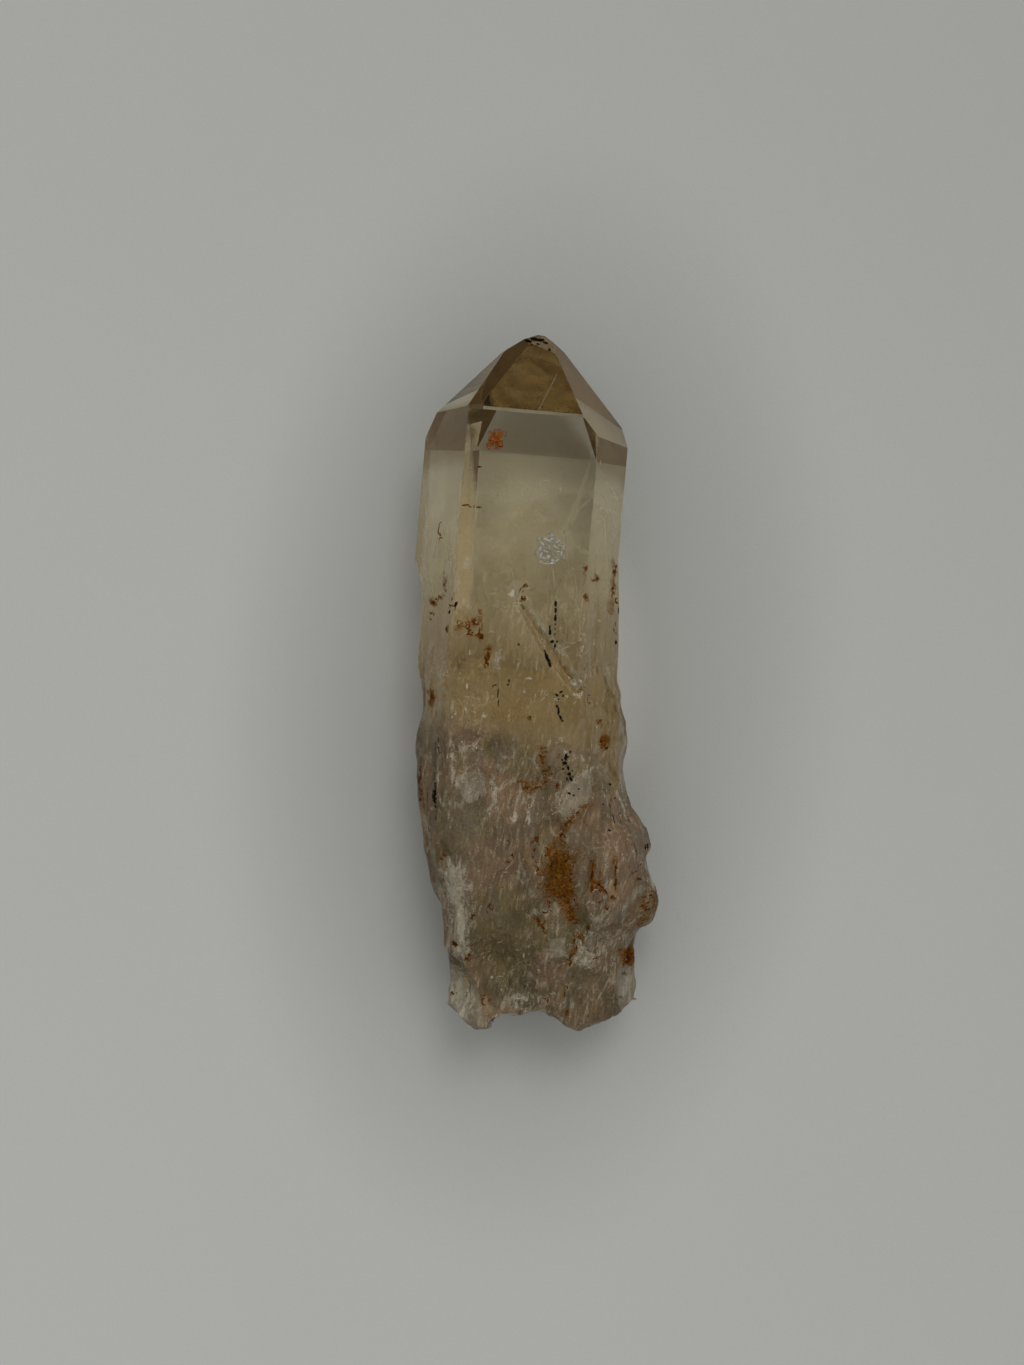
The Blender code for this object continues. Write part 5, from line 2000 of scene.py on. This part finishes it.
PALE_CRACKS = Cracks(
    "pale_cracks",
    StainFinish("pale_crack", (0.8, 0.7, 0.45), (0.95, 0.88, 0.66), 0.4, 0.4, 0.15),
    (
        Sheet(((-3.1, 11.0), (-0.2, 7.6), (2.6, 4.6), (4.6, 1.7), (5.8, -0.2)), (0.28, 0.0), 0.1),
        Sheet(((4.5, 26.2), (3.4, 25.5), (2.4, 24.1), (1.7, 22.6), (1.1, 21.3)),
         (0.45, -0.3), 0.12, wave=0.12),
        Sheet(((1.3, 21.3), (1.7, 18.6), (2.2, 15.4)), (0.16, 0.0), 0.06),
        Sheet(((-1.6, 44.1), (-2.7, 41.1), (-4.0, 37.4)), (0.08, 0.0), 0.1),
        Sheet(((2.8, 16.5), (3.7, 12.1), (4.5, 7.7)), (0.3, 0.0), 0.1),
        Sheet(((-14.1, 16.8), (-13.6, 12.0)), (0.3, 0.0), 0.1),
        Sheet(((-13.4, 17.3), (-12.9, 10.6)), (0.2, 0.0), 0.1),
        Sheet(((-5.9, 16.0), (-5.3, 13.4), (-4.9, 10.8)), (0.25, 0.1), 0.1),
        Sheet(((-7.2, 4.8), (-6.5, 2.2), (-5.8, -1.2)), (0.25, 0.0), 0.1),
        Sheet(((-8.2, 5.5), (-7.8, 3.9), (-7.5, 1.7)), (0.2, 0.0), 0.1),
        Sheet(((6.0, 29.5), (7.4, 28.2), (8.8, 26.2)), (0.2, 0.1), 0.1),
        Sheet(((5.7, 27.4), (7.1, 25.9), (8.5, 23.1)), (0.16, 0.0), 0.1),
        Sheet(((5.6, 25.2), (6.8, 23.0), (7.4, 20.0)), (0.16, 0.0), 0.1),
        Sheet(((-16.4, 22.0), (-16.6, 19.2), (-16.9, 16.1)), (0.2, 0.0), 0.1),
        Sheet(((-16.2, 22.0), (-15.0, 18.4), (-13.8, 13.7)), (0.2, 0.0), 0.1),
        Sheet(((-18.1, 22.1), (-17.9, 16.4), (-16.9, 12.1), (-17.2, 10.1)), (0.2, 0.0), 0.1),
        Sheet(((-0.5, 17.3), (0.3, 14.6), (1.0, 11.8)), (0.2, 0.0), 0.1),
    ),
)
DUSKY_CRACKS = Cracks(
    "dusky_cracks",
    StainFinish("dusky_crack", (0.12, 0.07, 0.02), (0.26, 0.17, 0.06), 0.6, 0.45, 0.05),
    (
        Sheet(((-9.6, -41.7), (-8.5, -42.1), (-6.7, -43.3), (-5.3, -44.8), (-4.7, -46.7), (-3.9, -49.1)),
         (0.3, 0.1), 0.5),
        Sheet(((-14.2, -9.3), (-13.9, -13.9), (-13.2, -18.7), (-11.8, -24.2), (-10.9, -31.5)),
         (-0.3, 0.0), 0.6),
        Sheet(((-15.5, -9.9), (-15.1, -14.2), (-14.1, -20.4)), (-0.3, 0.0), 0.6),
        Sheet(((8.1, -17.1), (8.6, -21.6)), (0.25, 0.0), 0.5),
        Sheet(((9.4, -15.3), (10.0, -20.1), (10.4, -23.7)), (0.25, 0.0), 0.5),
        Sheet(((10.6, -15.3), (11.4, -19.4), (11.9, -22.3)), (0.25, 0.0), 0.5),
        Sheet(((12.2, -17.0), (13.4, -20.6), (14.3, -24.8)), (0.25, 0.0), 0.5),
        Sheet(((13.8, -19.1), (15.3, -22.8), (16.1, -26.4)), (0.25, 0.0), 0.5),
        Sheet(((3.7, -35.3), (3.9, -37.1), (4.1, -38.4), (6.7, -38.4)), (0.3, 0.1), 0.4),
        Sheet(((7.7, -41.1), (8.4, -39.5), (10.1, -38.4), (12.2, -39.0), (13.9, -40.9)), (0.0, -0.4), 0.5),
        Sheet(((13.9, -40.9), (14.5, -43.5), (14.0, -45.8)), (-0.3, 0.0), 0.4),
        Sheet(((-16.1, 20.5), (-16.3, 18.0)), (0.4, 0.0), 0.7),
        Sheet(((-4.2, 10.9), (-1.6, 7.7), (1.1, 4.5), (4.1, 0.2)), (0.9, 0.2), 0.25),
        Sheet(((-12.8, 33.2), (-12.7, 28.7), (-12.4, 21.8)), (0.3, 0.0), 0.2),
    ),
)


@dataclass(frozen=True)
class Studio:
    """The sheet of paper, the soft light and the camera above it."""

    camera_mm: Point = (-4.244, -0.063, 246.0)
    camera_turn_deg: float = 4.9
    focal_px: float = 1600.0
    picture_height_px: float = 1365.0
    sensor_mm: float = 36.0
    clip_start_mm: float = 10.0
    floor_half_mm: float = 2000.0
    floor_gap_mm: float = 0.25
    sky: Colour = (1.0, 1.0, 0.985)
    low_sky: float = 0.06
    high_sky: float = 0.55
    zenith: float = 0.10
    sky_lean: float = 0.15
    sky_tilt: float = 0.2
    lamp_place_mm: Point = (80.0, 340.0, 640.0)
    lamp_size_mm: float = 320.0
    lamp_watts: float = 0.8
    paper: PaperFinish = field(default_factory=PaperFinish)

    def build(self) -> None:
        """Sets up the stage."""
        self._camera()
        self._floor()
        self._sky()
        self._lamp()
        scene = bpy.context.scene
        scene.view_settings.view_transform = "Standard"
        scene.cycles.max_bounces = 16
        scene.cycles.transmission_bounces = 14
        scene.cycles.transparent_max_bounces = 16
        scene.cycles.use_denoising = True

    def _camera(self) -> None:
        """Places the camera straight above the crystal."""
        lens = bpy.data.cameras.new("camera")
        lens.sensor_fit = "VERTICAL"
        lens.sensor_height = self.sensor_mm
        lens.lens = self.sensor_mm * self.focal_px / self.picture_height_px
        lens.clip_start = self.clip_start_mm * MM
        camera = bpy.data.objects.new("camera", lens)
        camera.location = Vector(self.camera_mm) * MM
        camera.rotation_euler = (0.0, 0.0, math.radians(self.camera_turn_deg))
        bpy.context.scene.collection.objects.link(camera)
        bpy.context.scene.camera = camera

    def _floor(self) -> None:
        """Lays the paper just under the crystal."""
        half, level = self.floor_half_mm * MM, -self.floor_gap_mm * MM
        corners = [(-half, -half, level), (half, -half, level), (half, half, level), (-half, half, level)]
        mesh = bpy.data.meshes.new("paper_sheet")
        mesh.from_pydata(corners, [], [(0, 1, 2, 3)])
        mesh.materials.append(self.paper.material())
        floor = bpy.data.objects.new("paper_sheet", mesh)
        bpy.context.scene.collection.objects.link(floor)

    def _sky(self) -> None:
        """Lights everything softly from all round, but for the dim spot that the camera takes overhead."""
        world = bpy.data.worlds.new("soft_room")
        world.use_nodes = True
        bpy.context.scene.world = world
        shader = Shader(world.node_tree)
        right, ahead, high = shader.parts(shader.add("ShaderNodeTexCoord").outputs["Generated"])
        strength = self.low_sky + (self.high_sky - self.low_sky) * high.step(0.25, 0.9)
        strength = strength + (self.zenith - self.high_sky) * high.step(0.97, 0.985)
        strength = strength * (1.0 + self.sky_lean * ahead + self.sky_tilt * right)
        sky = shader.add("ShaderNodeBackground", sockets={"Color": self.sky, "Strength": strength})
        shader.add("ShaderNodeOutputWorld", sockets={"Surface": sky.outputs[0]})

    def _lamp(self) -> None:
        """Adds a large soft lamp high up towards the crystal's point, a little to the right."""
        light = bpy.data.lights.new("soft_lamp", "AREA")
        light.shape = "DISK"
        light.size = self.lamp_size_mm * MM
        light.energy = self.lamp_watts
        lamp = bpy.data.objects.new("soft_lamp", light)
        lamp.location = Vector(self.lamp_place_mm) * MM
        lamp.rotation_euler = (-Vector(self.lamp_place_mm)).to_track_quat("-Z", "Y").to_euler()
        bpy.context.scene.collection.objects.link(lamp)


def main() -> None:
    """Builds the stage and the crystal."""
    logging.basicConfig(level=logging.INFO, format="%(name)s: %(message)s")
    Studio().build()
    skin = CrystalSkin()
    pieces = [skin.build()]
    specks = (NEEDLES, RUST_SPECKS, RUST_THREADS, PALE_THREADS, PAINTED_GLINTS, SPARK_GLINTS)
    for part in (MilkyHeart(), *specks, RingSpot(), SparkFracture(), PALE_CRACKS, DUSKY_CRACKS):
        pieces.append(part.build(skin.tree))
    for piece in pieces:
        LOG.info("%s: %d faces", piece.name, len(piece.data.polygons))


if __name__ == "__main__":
    main()
